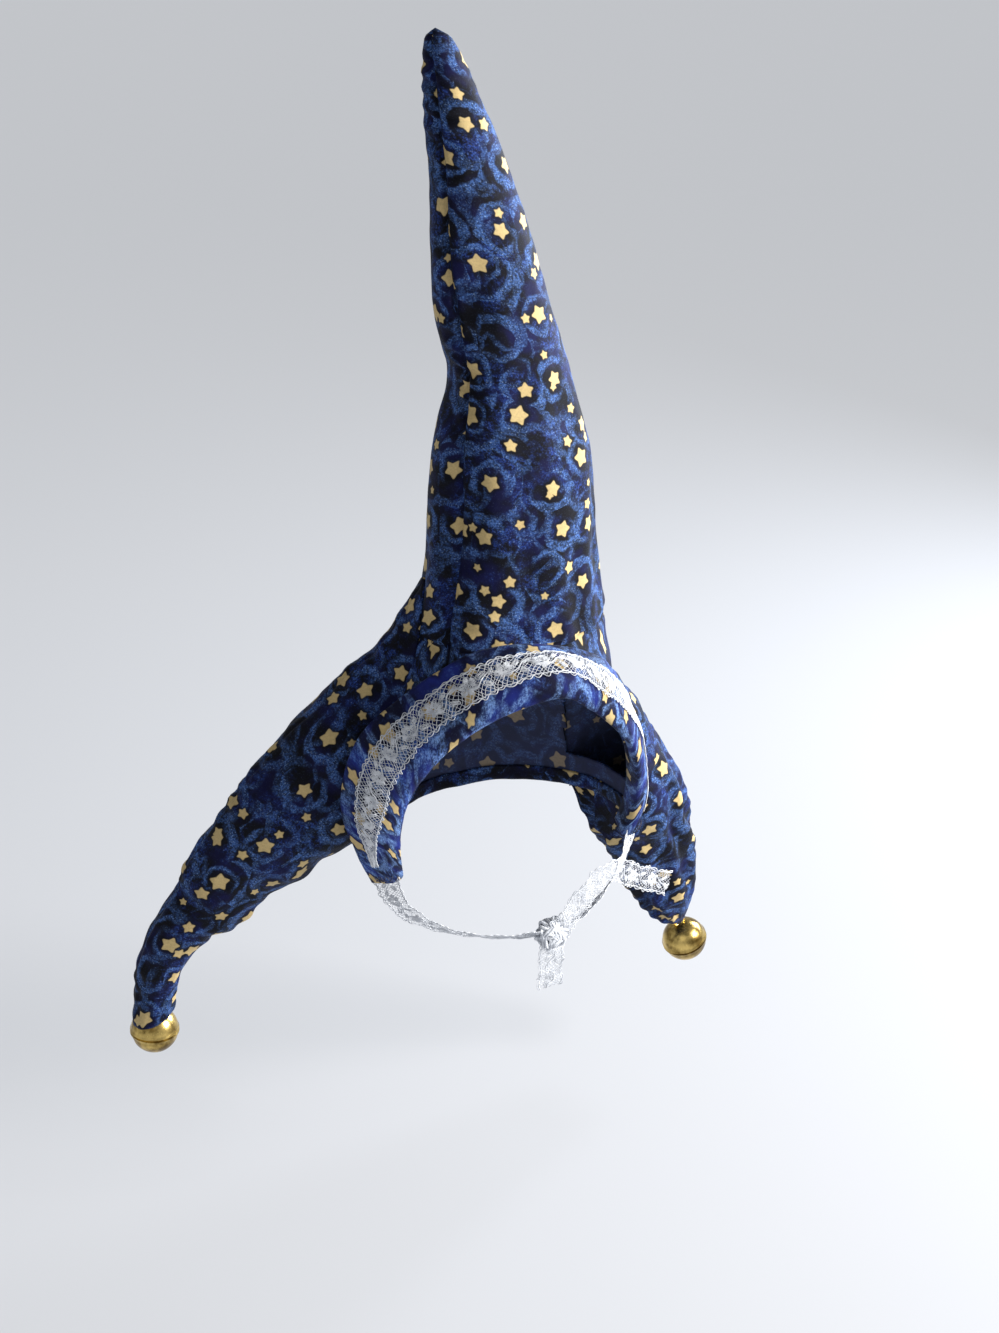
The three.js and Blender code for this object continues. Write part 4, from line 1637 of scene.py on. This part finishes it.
    def open_mouths(self, sheet: BMesh) -> None:
        """Cuts the tails' mouths and the face opening.

        Args:
            sheet: the crown's sheet.
        """
        points = np.array([face.calc_center_median() for face in sheet.faces]) / MM
        inside = np.zeros(len(points), dtype=bool)
        for form in (self.left, self.right):
            level = (points[:, 2] > self.mouth_low) & (points[:, 2] < self.mouth_high)
            inside |= (form.inside(points) < self.mouth_size) & level
        doomed = [face for face, gone in zip(sheet.faces, inside) if gone]
        bmesh.ops.delete(sheet, geom=doomed, context="FACES")
        way = Vector(FACE_IN)
        place = (Vector(self.face_point) + way * self.face_back) * MM
        whole = list(sheet.verts) + list(sheet.edges) + list(sheet.faces)
        bmesh.ops.bisect_plane(sheet, geom=whole, dist=1e-6, plane_co=place, plane_no=way, clear_inner=True)
        loose = [vert for vert in sheet.verts if not vert.link_faces]
        bmesh.ops.delete(sheet, geom=loose, context="VERTS")

    def hem_stitches(self, thread: Material) -> Piece:
        """Builds the running stitches that hold the crown's hem, where no tail covers it.

        Args:
            thread: the sewing thread.

        Returns:
            The stitches as one object.
        """
        lines = []
        for start in np.arange(self.stitch_from, 360.0 - self.stitch_from, self.stitch_pitch):
            turn = start + np.linspace(0.0, self.stitch_pitch * self.stitch_long, 6)
            rise = np.sin(np.linspace(0.0, math.pi, 6)) * self.stitch_high - self.stitch_sunk
            z = np.full_like(turn, self.stitch_z)
            line = self.body.plain(turn, z, self.body.lift(turn, z) + rise)
            clear = min(self.left.inside(line).min(), self.right.inside(line).min())
            if clear >= self.stitch_clear:
                lines.append(line)
        return threads("hem_stitches", lines, STITCH_RADIUS, THREAD_SIDES, thread)

    def tied_tip(self, form: TailForm, thread: Material) -> Piece:
        """Builds the thread wound round a tail's narrow end.

        Args:
            form: the tail.
            thread: the sewing thread.

        Returns:
            The winding as one object.
        """
        turn = np.linspace(0.0, 360.0 * self.wraps, 24 * self.wraps)
        stray = self.wrap_stray * np.sin(np.radians(turn * self.wrap_beat))
        share = np.linspace(self.wrap_from, self.wrap_to, len(turn)) + stray
        line = form.plain(turn, share, form.lift(turn, share) + self.wrap_proud)
        return threads("tip_winding", [line], self.wrap_radius, THREAD_SIDES, thread)

    def build(self) -> list[Piece]:
        """Builds the four pieces.

        Returns:
            Crown, peak, left tail and right tail.
        """
        crown = cloth_grid(self.columns, self.crown_rows, self.crown_points, True, self.crown_chart)
        face_out(crown, self.out_of_body)
        self.open_mouths(crown)
        panels = len(self.body.seams)
        peak = cloth_grid(self.columns, self.peak_rows, self.peak_points, True, panels=panels)
        face_out(peak, self.out_of_body)
        pieces = [("crown_cloth", crown), ("peak_cloth", peak)]
        for name, form in (("left_tail_cloth", self.left), ("right_tail_cloth", self.right)):
            tube = self.tail_sheet(form)
            spine = form.stations(np.linspace(0.0, 1.0, 60))[:, :3] * MM

            def out_of_tail(point: Vector, line: Array = spine) -> Vector:
                """The way from the tail's middle line to a point in metres."""
                nearest = line[np.argmin(np.linalg.norm(line - np.array(point), axis=1))]
                return point - Vector(nearest)

            face_out(tube, out_of_tail)
            pieces.append((name, tube))
        made = []
        for name, sheet in pieces:
            piece = to_object(name, sheet, self.right_side, self.wrong_side)
            thicken(piece, self.thick)
            made.append(piece)
        return made


@dataclass
class Strip:
    """Lace drawn flat, as lines of (along, across) in millimetres, then laid on a surface."""

    length: float
    width: float
    seed: int
    pitch: float = 1.45
    net_slope: float = 0.85
    net_in: float = 0.3
    cord_in: float = 0.7
    loop_high: float = 0.9
    loop_long: float = 2.9
    full_width: float = 11.0
    flower_pitch: float = 11.5
    petal_count: int = 6
    petal_off: float = 1.75
    petal_long: float = 1.2
    petal_wide: float = 0.82
    heart: float = 0.55
    leaf_off: float = 1.9
    leaf_long: float = 1.5
    leaf_wide: float = 0.62
    stem_high: float = 1.7
    stem_phase: float = 1.2
    onward: Wrinkle = Wrinkle(1.05, (2.6, 2.6, 1.0), 8.71)
    sideways: Wrinkle = Wrinkle(0.735, (2.6, 2.6, 1.0), 0.37)

    def flower_size(self) -> float:
        """How large the flowers are drawn, which is less on narrow lace."""
        return min(1.0, self.width / self.full_width)

    def net(self) -> list[Array]:
        """Draws the crossing threads of a diamond net.

        Returns:
            The threads.
        """
        lines = []
        half = self.width / 2.0 - self.net_in
        reach = half * 2.0 * self.net_slope
        across = np.linspace(-half, half, 11)
        for way in (1.0, -1.0):
            for start in np.arange(-reach, self.length, self.pitch):
                along = start + (across * way + half) * self.net_slope
                kept = (along >= 0.0) & (along <= self.length)
                if kept.sum() > 1:
                    lines.append(np.stack([along[kept], across[kept]], axis=1))
        return lines

    def edges(self) -> list[Array]:
        """Draws a cord along each edge, and a row of small loops outside it.

        Returns:
            The cords and the loops.
        """
        lines = []
        along = np.linspace(0.0, self.length, int(self.length / 1.2))
        fine = np.linspace(0.0, self.length, int(self.length / 0.5))
        cord = self.width / 2.0 - self.cord_in
        for side in (-1.0, 1.0):
            lines.append(np.stack([along, np.full_like(along, side * cord)], axis=1))
            loops = cord + self.loop_high * np.abs(np.sin(math.pi * fine / self.loop_long))
            lines.append(np.stack([fine, side * loops], axis=1))
        return lines

    def ovals(self, middle: Array, way: Array, size: tuple[float, float], *scales: float) -> list[Array]:
        """Draws ovals inside each other.

        Args:
            middle: their middle.
            way: the way that they are long in.
            size: half their length and half their width, on full lace.
            scales: how large each one is.

        Returns:
            The ovals.
        """
        turn = np.linspace(0.0, FULL_TURN, 11)[:-1]
        side = np.array([-way[1], way[0]])
        drawn = []
        for scale in scales:
            long = np.cos(turn) * size[0] * scale * self.flower_size()
            wide = np.sin(turn) * size[1] * scale * self.flower_size()
            drawn.append(middle + np.outer(long, way) + np.outer(wide, side))
        return drawn

    def petals(self) -> list[Array]:
        """Draws small flowers, and leaves on a wavy stem.

        Returns:
            Closed outlines.
        """
        dice = np.random.default_rng(self.seed)
        size = self.flower_size()
        loops = []
        for place in np.arange(self.flower_pitch * 0.45, self.length - 2.0, self.flower_pitch):
            middle = np.array([place, dice.uniform(-0.6, 0.6) * size])
            spin = dice.uniform(0.0, 1.2)
            for petal in range(self.petal_count):
                angle = spin + petal * FULL_TURN / self.petal_count
                way = np.array([math.cos(angle), math.sin(angle)])
                off = middle + way * self.petal_off * size
                loops += self.ovals(off, way, (self.petal_long, self.petal_wide), 1.0, 0.62, 0.28)
            loops += self.ovals(middle, np.array([1.0, 0.0]), (self.heart, self.heart), 1.0)
            for step, sign in ((0.36, 1.0), (0.5, -1.0), (0.64, 1.0)):
                stem = place + self.flower_pitch * step
                if stem <= self.length - 1.5:
                    base = np.array([stem, sign * self.leaf_off * size])
                    way = np.array([0.8, sign * 0.6])
                    loops += self.ovals(base, way, (self.leaf_long, self.leaf_wide), 1.0, 0.5)
        return loops

    def stems(self) -> list[Array]:
        """Draws a wavy stem that joins the flowers.

        Returns:
            The stem.
        """
        along = np.linspace(0.0, self.length, int(self.length))
        wave = np.sin(along * FULL_TURN / self.flower_pitch + self.stem_phase)
        return [np.stack([along, self.stem_high * self.flower_size() * wave], axis=1)]

    def pulled(self, line: Array) -> Array:
        """Moves a flat line a little, as soft threads shift in wear."""
        flat = np.concatenate([line, np.full((len(line), 1), float(self.seed))], axis=1)
        return line + np.stack([self.onward.lift(flat), self.sideways.lift(flat)], axis=1)

    def make(self, name: str, lay: Lay, finish: Material) -> Piece:
        """Makes the strip's threads on a surface.

        Args:
            name: the piece's name.
            lay: turns rows of (along, across) into points.
            finish: the thread's material.

        Returns:
            The strip as one object.
        """
        parts = []
        for part, lines, radius, closed in (
            ("net", self.net(), 0.11, False),
            ("edges", self.edges(), 0.18, False),
            ("stems", self.stems(), 0.26, False),
            ("petals", self.petals(), 0.19, True),
        ):
            laid = [lay(self.pulled(line)) for line in lines]
            parts.append(threads(f"{name}.{part}", laid, radius, 4, finish, closed))
        return merge(name, parts)


@dataclass
class Brim:
    """The turned-up band of cloth round the face, with lace and stitches along it."""

    form: BrimForm
    right_side: Material
    wrong_side: Material
    lace: Material
    thick: float = 1.4
    lace_from: float = 0.05
    lace_to: float = 0.945
    lace_low: float = 0.26
    lace_high: float = 0.75
    lace_width: float = 10.8
    lace_up: float = 0.35
    lace_narrow: float = 0.35
    lace_rise: float = 0.14
    left_taper: float = 0.16
    right_taper: float = 0.3
    lace_seed: int = 5
    columns: int = 240
    rows: int = 34
    hat_middle: Triple = (0.0, 20.0, 30.0)

    def cloth(self) -> Piece:
        """Builds the band.

        Returns:
            The band as one object.
        """
        sheet = cloth_grid(self.columns, self.rows, self.form.points, False)

        def outward(point: Vector) -> Vector:
            """The way out from the middle of the crown."""
            return point - Vector(self.hat_middle) * MM

        face_out(sheet, outward)
        piece = to_object("brim_cloth", sheet, self.right_side, self.wrong_side)
        thicken(piece, self.thick)
        return piece

    def lay(self, flat: Array) -> Array:
        """Lays lace on the band's face, narrowing at both ends.

        Args:
            flat: rows of (along, across) in millimetres.

        Returns:
            One point a row.
        """
        share = np.clip(flat[:, 0] / self.lace_length(), 0.0, 1.0)
        along = self.lace_from + (self.lace_to - self.lace_from) * share
        full = smooth_step(share, 0.0, self.left_taper) * smooth_step(1.0 - share, 0.0, self.right_taper)
        taper = self.lace_narrow + (1.0 - self.lace_narrow) * full
        middle = (self.lace_low + self.lace_high) / 2.0 + self.lace_rise * (1.0 - taper)
        half = (self.lace_high - self.lace_low) / 2.0 * taper
        across = middle + half * flat[:, 1] / (self.lace_width / 2.0)
        return self.form.face(along, across, self.form.proud + self.lace_up)

    def lace_length(self) -> float:
        """Measures the lace's middle line.

        Returns:
            The length in millimetres.
        """
        along = np.linspace(self.lace_from, self.lace_to, 120)
        across = np.full_like(along, (self.lace_low + self.lace_high) / 2.0)
        return float(run_along(self.form.middle(along, across))[-1])

    def trim(self) -> Piece:
        """Builds the lace."""
        strip = Strip(self.lace_length(), self.lace_width, self.lace_seed)
        return strip.make("brim_lace_threads", self.lay, self.lace)


@dataclass
class Ties:
    """Lace ties from the brim's ends, the knot that joins them and their free ends."""

    lace: Material
    brim: BrimForm
    thread: Material
    width: float = 10.0
    tucked: float = 2.3
    net_pitch: float = 1.35
    twist_rate: float = 0.55
    cup_rate: float = 0.9
    stitch_rows: tuple[float, ...] = (0.3, 0.5, 0.7)
    stitch_long: float = 0.007
    stitch_wide: float = 0.08
    stitch_high: float = 0.95
    stitch_sunk: float = 0.7
    knot_at: Triple = (9.5, -20.5, -35.0)
    knot_half: Triple = (6.4, 3.9, 5.3)
    knot_turns: int = 26
    knot_cord: float = 0.62
    knot_seed: int = 17

    def ribbon(self, knots: tuple[Knot, ...], ruffle: float) -> tuple[float, Lay]:
        """Reads a ribbon's length and the way to lay lace on it.

        Args:
            knots: the ribbon's stations.
            ruffle: how far its edges wave.

        Returns:
            The length in millimetres, and a function from (along, across) to points.
        """
        marks = np.linspace(0.0, 1.0, len(knots))
        at = np.array([knot.at for knot in knots])
        faces = np.array([knot.face for knot in knots])
        fine = np.linspace(0.0, 1.0, 200)
        run = run_along(spline(marks, at, fine))

        def lay(flat: Array) -> Array:
            """Lays lace on the ribbon.

            Args:
                flat: rows of (along, across) in millimetres.

            Returns:
                One point a row.
            """
            share = np.interp(flat[:, 0], run, fine)
            small = 0.01
            ahead = spline(marks, at, np.minimum(share + small, 1.0))
            behind = spline(marks, at, np.maximum(share - small, 0.0))
            way = unit(ahead - behind)
            wide = unit(np.cross(way, spline(marks, faces, share)))
            up = np.cross(wide, way)
            aside = flat[:, 1] / self.width
            wave = ruffle * np.sin(flat[:, 0] * self.twist_rate) * aside
            wave += ruffle * 0.5 * np.sin(flat[:, 0] * self.cup_rate + 1.0) * aside**2
            return spline(marks, at, share) + wide * flat[:, 1:2] + up * wave[:, None]

        return float(run[-1]), lay

    def sewn_on(self, knots: tuple[Knot, ...], shares: tuple[float, float]) -> tuple[Knot, ...]:
        """Runs a tie's upper end up behind the brim's end.

        Args:
            knots: the tie's stations below the brim.
            shares: two places along the brim, from the upper one down.

        Returns:
            All the tie's stations.
        """
        along = np.array(shares)
        across = np.full_like(along, 0.5)
        at = self.brim.face(along, across, self.brim.proud - self.tucked)
        face = self.brim.normal(along, across)
        top = tuple(Knot(tuple(point), tuple(way)) for point, way in zip(at, face))
        return top + knots

    def strip(self, name: str, knots: tuple[Knot, ...], ruffle: float, seed: int) -> tuple[Piece, float]:
        """Builds one length of lace ribbon.

        Args:
            name: the piece's name.
            knots: the ribbon's stations.
            ruffle: how far its edges wave.
            seed: picks the flowers' small differences.

        Returns:
            The ribbon, and its length in millimetres.
        """
        length, lay = self.ribbon(knots, ruffle)
        lace = Strip(length, self.width, seed, pitch=self.net_pitch)
        return lace.make(name, lay, self.lace), length

    def stitches(self, name: str, along: float) -> Piece:
        """Builds the cross stitches that hold a tie behind the brim.

        Args:
            name: the piece's name.
            along: the place along the brim.

        Returns:
            The stitches as one object.
        """
        lines = []
        step = np.linspace(-1.0, 1.0, 7)
        height = self.brim.proud + self.stitch_high - self.stitch_sunk * step**2
        for middle in self.stitch_rows:
            for way in (-self.stitch_wide, self.stitch_wide):
                lines.append(self.brim.face(along + self.stitch_long * step, middle + way * step, height))
        return threads(name, lines, STITCH_RADIUS, THREAD_SIDES, self.thread)

    def knot(self) -> Piece:
        """Builds the knot as lace cords wound round each other.

        Returns:
            The knot as one object.
        """
        turn = np.linspace(0.0, FULL_TURN, 25)[:-1]
        dice = np.random.default_rng(self.knot_seed)
        half = np.array(self.knot_half)
        lines = []
        for row in range(self.knot_turns):
            tip = dice.uniform(-0.9, 0.9)
            lean = dice.uniform(-0.5, 0.5) + (0.9 if row % 2 else -0.4)
            size = math.sqrt(max(1.0 - tip * tip, 0.05))
            x = tip + 0.15 * np.sin(turn * 2.0 + row)
            ring = np.stack([x, np.cos(turn) * size, np.sin(turn) * size], axis=1) * half
            spun = np.array(Matrix.Rotation(lean, 3, "Y"))
            lines.append(ring @ spun.T + np.array(self.knot_at))
        return threads("knot_wraps", lines, self.knot_cord, 8, self.lace, True)


@dataclass
class Bell:
    """A pressed jingle bell with a crimped middle, a slot that ends in round holes, and a wire loop."""

    name: str
    at: Triple
    tilt_x: float
    tilt_y: float
    metal: Material
    thread: Material
    radius: float = 9.5
    wall: float = 0.7
    rib: float = 0.42
    crimp: float = 0.55
    slot: float = 2.0
    hole: float = 2.1
    hole_drop: float = 3.2
    loop: float = 2.4
    wire: float = 0.7
    sharp: float = 38.0
    strands: int = 7
    strand_radius: float = 0.24
    strand_seed: int = 3

    def place(self) -> Matrix:
        """The bell's turn and place in metres."""
        turn = Euler((self.tilt_x, self.tilt_y, 0.0)).to_matrix().to_4x4()
        return Matrix.Translation(Vector(self.at) * MM) @ turn

    def cutter(self) -> Piece:
        """Builds the solid that cuts the slot and the two holes.

        Returns:
            The solid.
        """
        tool = bmesh.new()
        size = Matrix.Diagonal((self.radius * 1.84, self.slot, self.radius * 1.2, 1.0))
        down = Matrix.Translation((0.0, 0.0, -self.radius * 0.6 - self.hole_drop + 0.2))
        bmesh.ops.create_cube(tool, size=1.0, matrix=down @ size)
        lie = Matrix.Rotation(math.pi / 2.0, 4, "Y")
        for side in (-1.0, 1.0):
            there = Matrix.Translation((side * self.radius * 0.9, 0.0, -self.hole_drop))
            bmesh.ops.create_cone(tool, cap_ends=True, segments=32, radius1=self.hole, radius2=self.hole,
                                  depth=self.radius * 0.7, matrix=there @ lie)
        bmesh.ops.scale(tool, vec=(MM, MM, MM), verts=tool.verts)
        bmesh.ops.transform(tool, matrix=self.place(), verts=tool.verts)
        return to_object(self.name + ".cutter", tool, self.metal)

    def shell(self) -> Piece:
        """Builds the hollow ball and cuts its slot.

        Returns:
            The ball.
        """
        ball = bmesh.new()
        bmesh.ops.create_uvsphere(ball, u_segments=72, v_segments=72, radius=self.radius)
        for vert in ball.verts:
            lip = self.rib * math.exp(-(((abs(vert.co.z) - 0.6) / 0.4) ** 2))
            nip = self.crimp * math.exp(-((vert.co.z / 0.25) ** 2))
            vert.co += vert.co.normalized() * (lip - nip)
        bmesh.ops.recalc_face_normals(ball, faces=ball.faces)
        bmesh.ops.solidify(ball, geom=ball.faces, thickness=self.wall)
        bmesh.ops.scale(ball, vec=(MM, MM, MM), verts=ball.verts)
        bmesh.ops.transform(ball, matrix=self.place(), verts=ball.verts)
        whole = to_object(self.name + ".whole", ball, self.metal)
        tool = self.cutter()
        for enlarged in (whole, tool):
            enlarged.data.transform(Matrix.Scale(1.0 / MM, 4))
            enlarged.data.update()
        bpy.context.view_layer.update()
        cut = whole.modifiers.new("Slot", "BOOLEAN")
        cut.object = tool
        cut.operation = "DIFFERENCE"
        cut.solver = "EXACT"
        cut.use_self = True
        made = bpy.data.meshes.new_from_object(whole.evaluated_get(bpy.context.evaluated_depsgraph_get()))
        bpy.data.meshes.remove(whole.data)
        bpy.data.meshes.remove(tool.data)
        made.transform(Matrix.Scale(MM, 4))
        piece = bpy.data.objects.new(self.name + ".ball", made)
        bpy.context.scene.collection.objects.link(piece)
        return piece

    def loop_line(self) -> Array:
        """Draws the wire loop.

        Returns:
            Points round it, in millimetres.
        """
        turn = np.linspace(0.0, FULL_TURN, 33)[:-1]
        ring = np.stack([np.cos(turn), np.zeros_like(turn), np.sin(turn)], axis=1) * self.loop
        return self.moved(ring + np.array([0.0, 0.0, self.radius + self.loop - self.wire]))

    def moved(self, points: Array) -> Array:
        """Takes points from the bell's own frame to the hat's, in millimetres."""
        turn = np.array(Euler((self.tilt_x, self.tilt_y, 0.0)).to_matrix())
        return points @ turn.T + np.array(self.at)

    def build(self) -> Piece:
        """Builds the ball with its loop.

        Returns:
            The bell as one object.
        """
        loop = threads(self.name + ".loop", [self.loop_line()], self.wire, 12, self.metal, True)
        bell = merge(self.name, [self.shell(), loop])
        bell.data.set_sharp_from_angle(angle=math.radians(self.sharp))
        return bell

    def sewing(self, reach: float, spread: float) -> Piece:
        """Builds the thread that holds the bell's loop in the tail's end.

        Args:
            reach: how far up into the tail the stitches go.
            spread: how far apart they are at the top.

        Returns:
            The stitches as one object.
        """
        lines = []
        top = self.radius + self.loop * 2.0 - self.wire * 2.0
        turn = np.linspace(0.0, FULL_TURN, 17)[:-1]
        dice = np.random.default_rng(self.strand_seed)
        for row in range(self.strands):
            lean = dice.uniform(-spread, spread)
            wide = dice.uniform(0.5, 0.9) * spread
            x = lean * 0.4 + 0.3 * np.sin(turn * 2.0 + row)
            y = np.cos(turn) * wide
            z = top - 0.4 + (np.sin(turn) * 0.5 + 0.5) * reach - 0.5
            lines.append(self.moved(np.stack([x, y, z], axis=1)))
        return threads(self.name + "_thread", lines, self.strand_radius, THREAD_SIDES, self.thread, True)


@dataclass(frozen=True)
class Lamp:
    """A square soft light: its name, place in millimetres, watts, side in millimetres and tint."""

    name: str
    at: Triple
    power: float
    size: float
    tint: Triple


@dataclass
class Studio:
    """The floor, the lights and the camera."""

    lamps: tuple[Lamp, ...] = (
        Lamp("key_light", (700.0, -430.0, 400.0), 21.0, 330.0, (1.0, 0.98, 0.95)),
        Lamp("side_light", (720.0, 260.0, 260.0), 11.0, 330.0, (0.86, 0.92, 1.0)),
        Lamp("fill_light", (-500.0, -800.0, 500.0), 0.5, 600.0, (0.95, 0.97, 1.0)),
    )
    sky_tint: tuple[float, float, float, float] = (0.95, 0.97, 1.0, 1.0)
    sky_strength: float = 0.12
    floor_z: float = -150.0
    floor_marks: tuple[float, ...] = (0.0, 0.6, 1.2)
    floor_reach: float = 1.7
    floor_sides: int = 96
    wall_bend: float = 0.9
    wall_steps: int = 12
    wall_top: float = 2.4
    aim: Triple = (6.61, 27.28, 59.56)
    azimuth: float = -22.0
    elevation: float = 25.0
    away: float = 900.0
    lens: float = 62.32
    sensor: float = 36.0

    def camera(self) -> None:
        """Sets the camera where the photograph was taken from."""
        azimuth = math.radians(self.azimuth)
        elevation = math.radians(self.elevation)
        out = Vector((math.sin(azimuth) * math.cos(elevation), -math.cos(azimuth) * math.cos(elevation),
                      math.sin(elevation)))
        data = bpy.data.cameras.new("camera")
        data.lens = self.lens
        data.sensor_width = self.sensor
        data.clip_start = 0.01
        camera = bpy.data.objects.new("camera", data)
        camera.location = (Vector(self.aim) + out * self.away) * MM
        camera.rotation_euler = (-out).to_track_quat("-Z", "Y").to_euler()
        bpy.context.scene.collection.objects.link(camera)
        bpy.context.scene.camera = camera

    def light(self, lamp: Lamp) -> None:
        """Adds a soft light that looks at the hat.

        Args:
            lamp: the light.
        """
        data = bpy.data.lights.new(lamp.name, "AREA")
        data.energy = lamp.power
        data.size = lamp.size * MM
        data.color = lamp.tint
        holder = bpy.data.objects.new(lamp.name, data)
        holder.location = Vector(lamp.at) * MM
        holder.rotation_euler = (Vector(self.aim) - Vector(lamp.at)).to_track_quat("-Z", "Y").to_euler()
        bpy.context.scene.collection.objects.link(holder)

    def bowl_line(self) -> list[tuple[float, float]]:
        """Draws the floor's section in metres, from its middle out and up its round wall.

        Returns:
            Rows of reach and height.
        """
        line = [(mark, 0.0) for mark in self.floor_marks]
        for step in range(self.wall_steps + 1):
            angle = step / self.wall_steps * math.pi / 2.0
            line.append((self.floor_reach + math.sin(angle) * self.wall_bend,
                         (1.0 - math.cos(angle)) * self.wall_bend))
        line.append((self.floor_reach + self.wall_bend, self.wall_top))
        return line

    def build(self) -> None:
        """Builds the floor, the lights and the sky."""
        bowl = bmesh.new()
        edge = [bowl.verts.new((reach, 0.0, self.floor_z * MM + rise)) for reach, rise in self.bowl_line()]
        rims = [bowl.edges.new(pair) for pair in zip(edge, edge[1:])]
        bmesh.ops.spin(bowl, geom=edge + rims, axis=(0.0, 0.0, 1.0), steps=self.floor_sides,
                       angle=FULL_TURN, use_merge=True)
        bmesh.ops.remove_doubles(bowl, verts=bowl.verts, dist=1e-5)
        floor = to_object("studio_floor", bowl, PaleFloor().material())
        for lamp in self.lamps:
            self.light(lamp)
        world = bpy.data.worlds.new("studio_sky")
        world.use_nodes = True
        sky = world.node_tree.nodes["Background"]
        sky.inputs["Color"].default_value = self.sky_tint
        sky.inputs["Strength"].default_value = self.sky_strength
        bpy.context.scene.world = world
        bpy.context.scene.view_settings.view_transform = "Standard"


def main() -> None:
    """Builds the hat piece by piece and notes its size."""
    logging.basicConfig(level=logging.INFO, format="%(name)s %(message)s")
    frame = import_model()
    studio = Studio()
    studio.camera()
    cotton = PrintedCotton().material()
    inside = PrintedCotton(name="cotton_wrong_side", faded=0.55).material()
    lace = LACE_THREAD.material()
    gold = GOLD_PLATE.material()
    dark = DARK_THREAD.material()
    left = TailForm(LEFT_BENDS, LEFT_FOLDS, outer=1.0, pleats=0.35, seed=5.0, slant=4.0)
    right = TailForm(RIGHT_BENDS, RIGHT_FOLDS, outer=-1.0, pleats=1.7, seed=31.0, slant=0.0)
    cloth = Cloth(cotton, inside, BodyForm(), left, right)
    crown, peak, left_tail, right_tail = cloth.build()
    sewn_sheet(crown, CROWN_CUT, "crown")
    sewn_sheet(peak, PEAK_CUT, "peak", crown)
    sewn_sheet(left_tail, LEFT_TAIL_CUT, "left_tail", crown)
    sewn_sheet(right_tail, RIGHT_TAIL_CUT, "right_tail", crown)
    settle(cloth.hem_stitches(dark), Slot.COTTON)
    settle(cloth.tied_tip(right, dark), Slot.COTTON)
    # The brim's cotton is a brighter copy of the same print: painted light, standing in for the stronger
    # light on the upturned brim.
    lit_brim_print = PrintedCotton(name="brim_cotton", night=(8, 11, 38), indigo=(25, 37, 112),
                               haze=(70, 104, 176), curl=(110, 144, 200))
    brim = Brim(BrimForm(), lit_brim_print.material(), inside, lace)
    band = sewn_sheet(brim.cloth(), BRIM_CUT, "brim", crown)
    lace_sheet(brim.trim(), brim.lace_length(), Held.LAID, "brim_lace", band)
    ties = Ties(lace, brim.form, dark)
    knot = settle(ties.knot(), Slot.LACE, "tie_knot")
    left_tie = ties.sewn_on(LEFT_TIE, shares=(0.024, 0.004))
    right_tie = ties.sewn_on(RIGHT_TIE, shares=(0.976, 0.996))
    for name, node, knots, ruffle, seed, carrier in (
        ("left_tie_lace", "left_tie", left_tie, 0.4, 21, band),
        ("right_tie_lace", "right_tie", right_tie, 0.4, 22, band),
        ("long_end_lace", "long_tie_end", LONG_END, 1.4, 23, knot),
        ("short_end_lace", "short_tie_end", SHORT_END, 1.4, 24, knot),
    ):
        strip, length = ties.strip(name, knots, ruffle, seed)
        lace_sheet(strip, length, Held.HUNG, node, carrier)
    settle(ties.stitches("left_tie_stitches", along=0.014), Slot.COTTON)
    settle(ties.stitches("right_tie_stitches", along=0.986), Slot.COTTON)
    left_bell = Bell("left_bell_shell", (-136.6, 40.4, -80.6), 0.0, 0.03, gold, dark)
    right_bell = Bell("right_bell_shell", (98.9, 40.5, -93.0), 0.1, -0.36, gold, dark)
    settle(left_bell.build(), Slot.BELL, "left_bell")
    settle(right_bell.build(), Slot.BELL, "right_bell")
    settle(left_bell.sewing(reach=3.0, spread=2.0), Slot.COTTON)
    settle(right_bell.sewing(reach=3.0, spread=1.2), Slot.COTTON)
    steel = DullSteel().material()
    for name in ("left_pellet", "right_pellet"):
        node = frame["nodes"][name]
        node.data.materials.clear()
        node.data.materials.append(steel)
    studio.build()


if __name__ == "__main__":
    main()
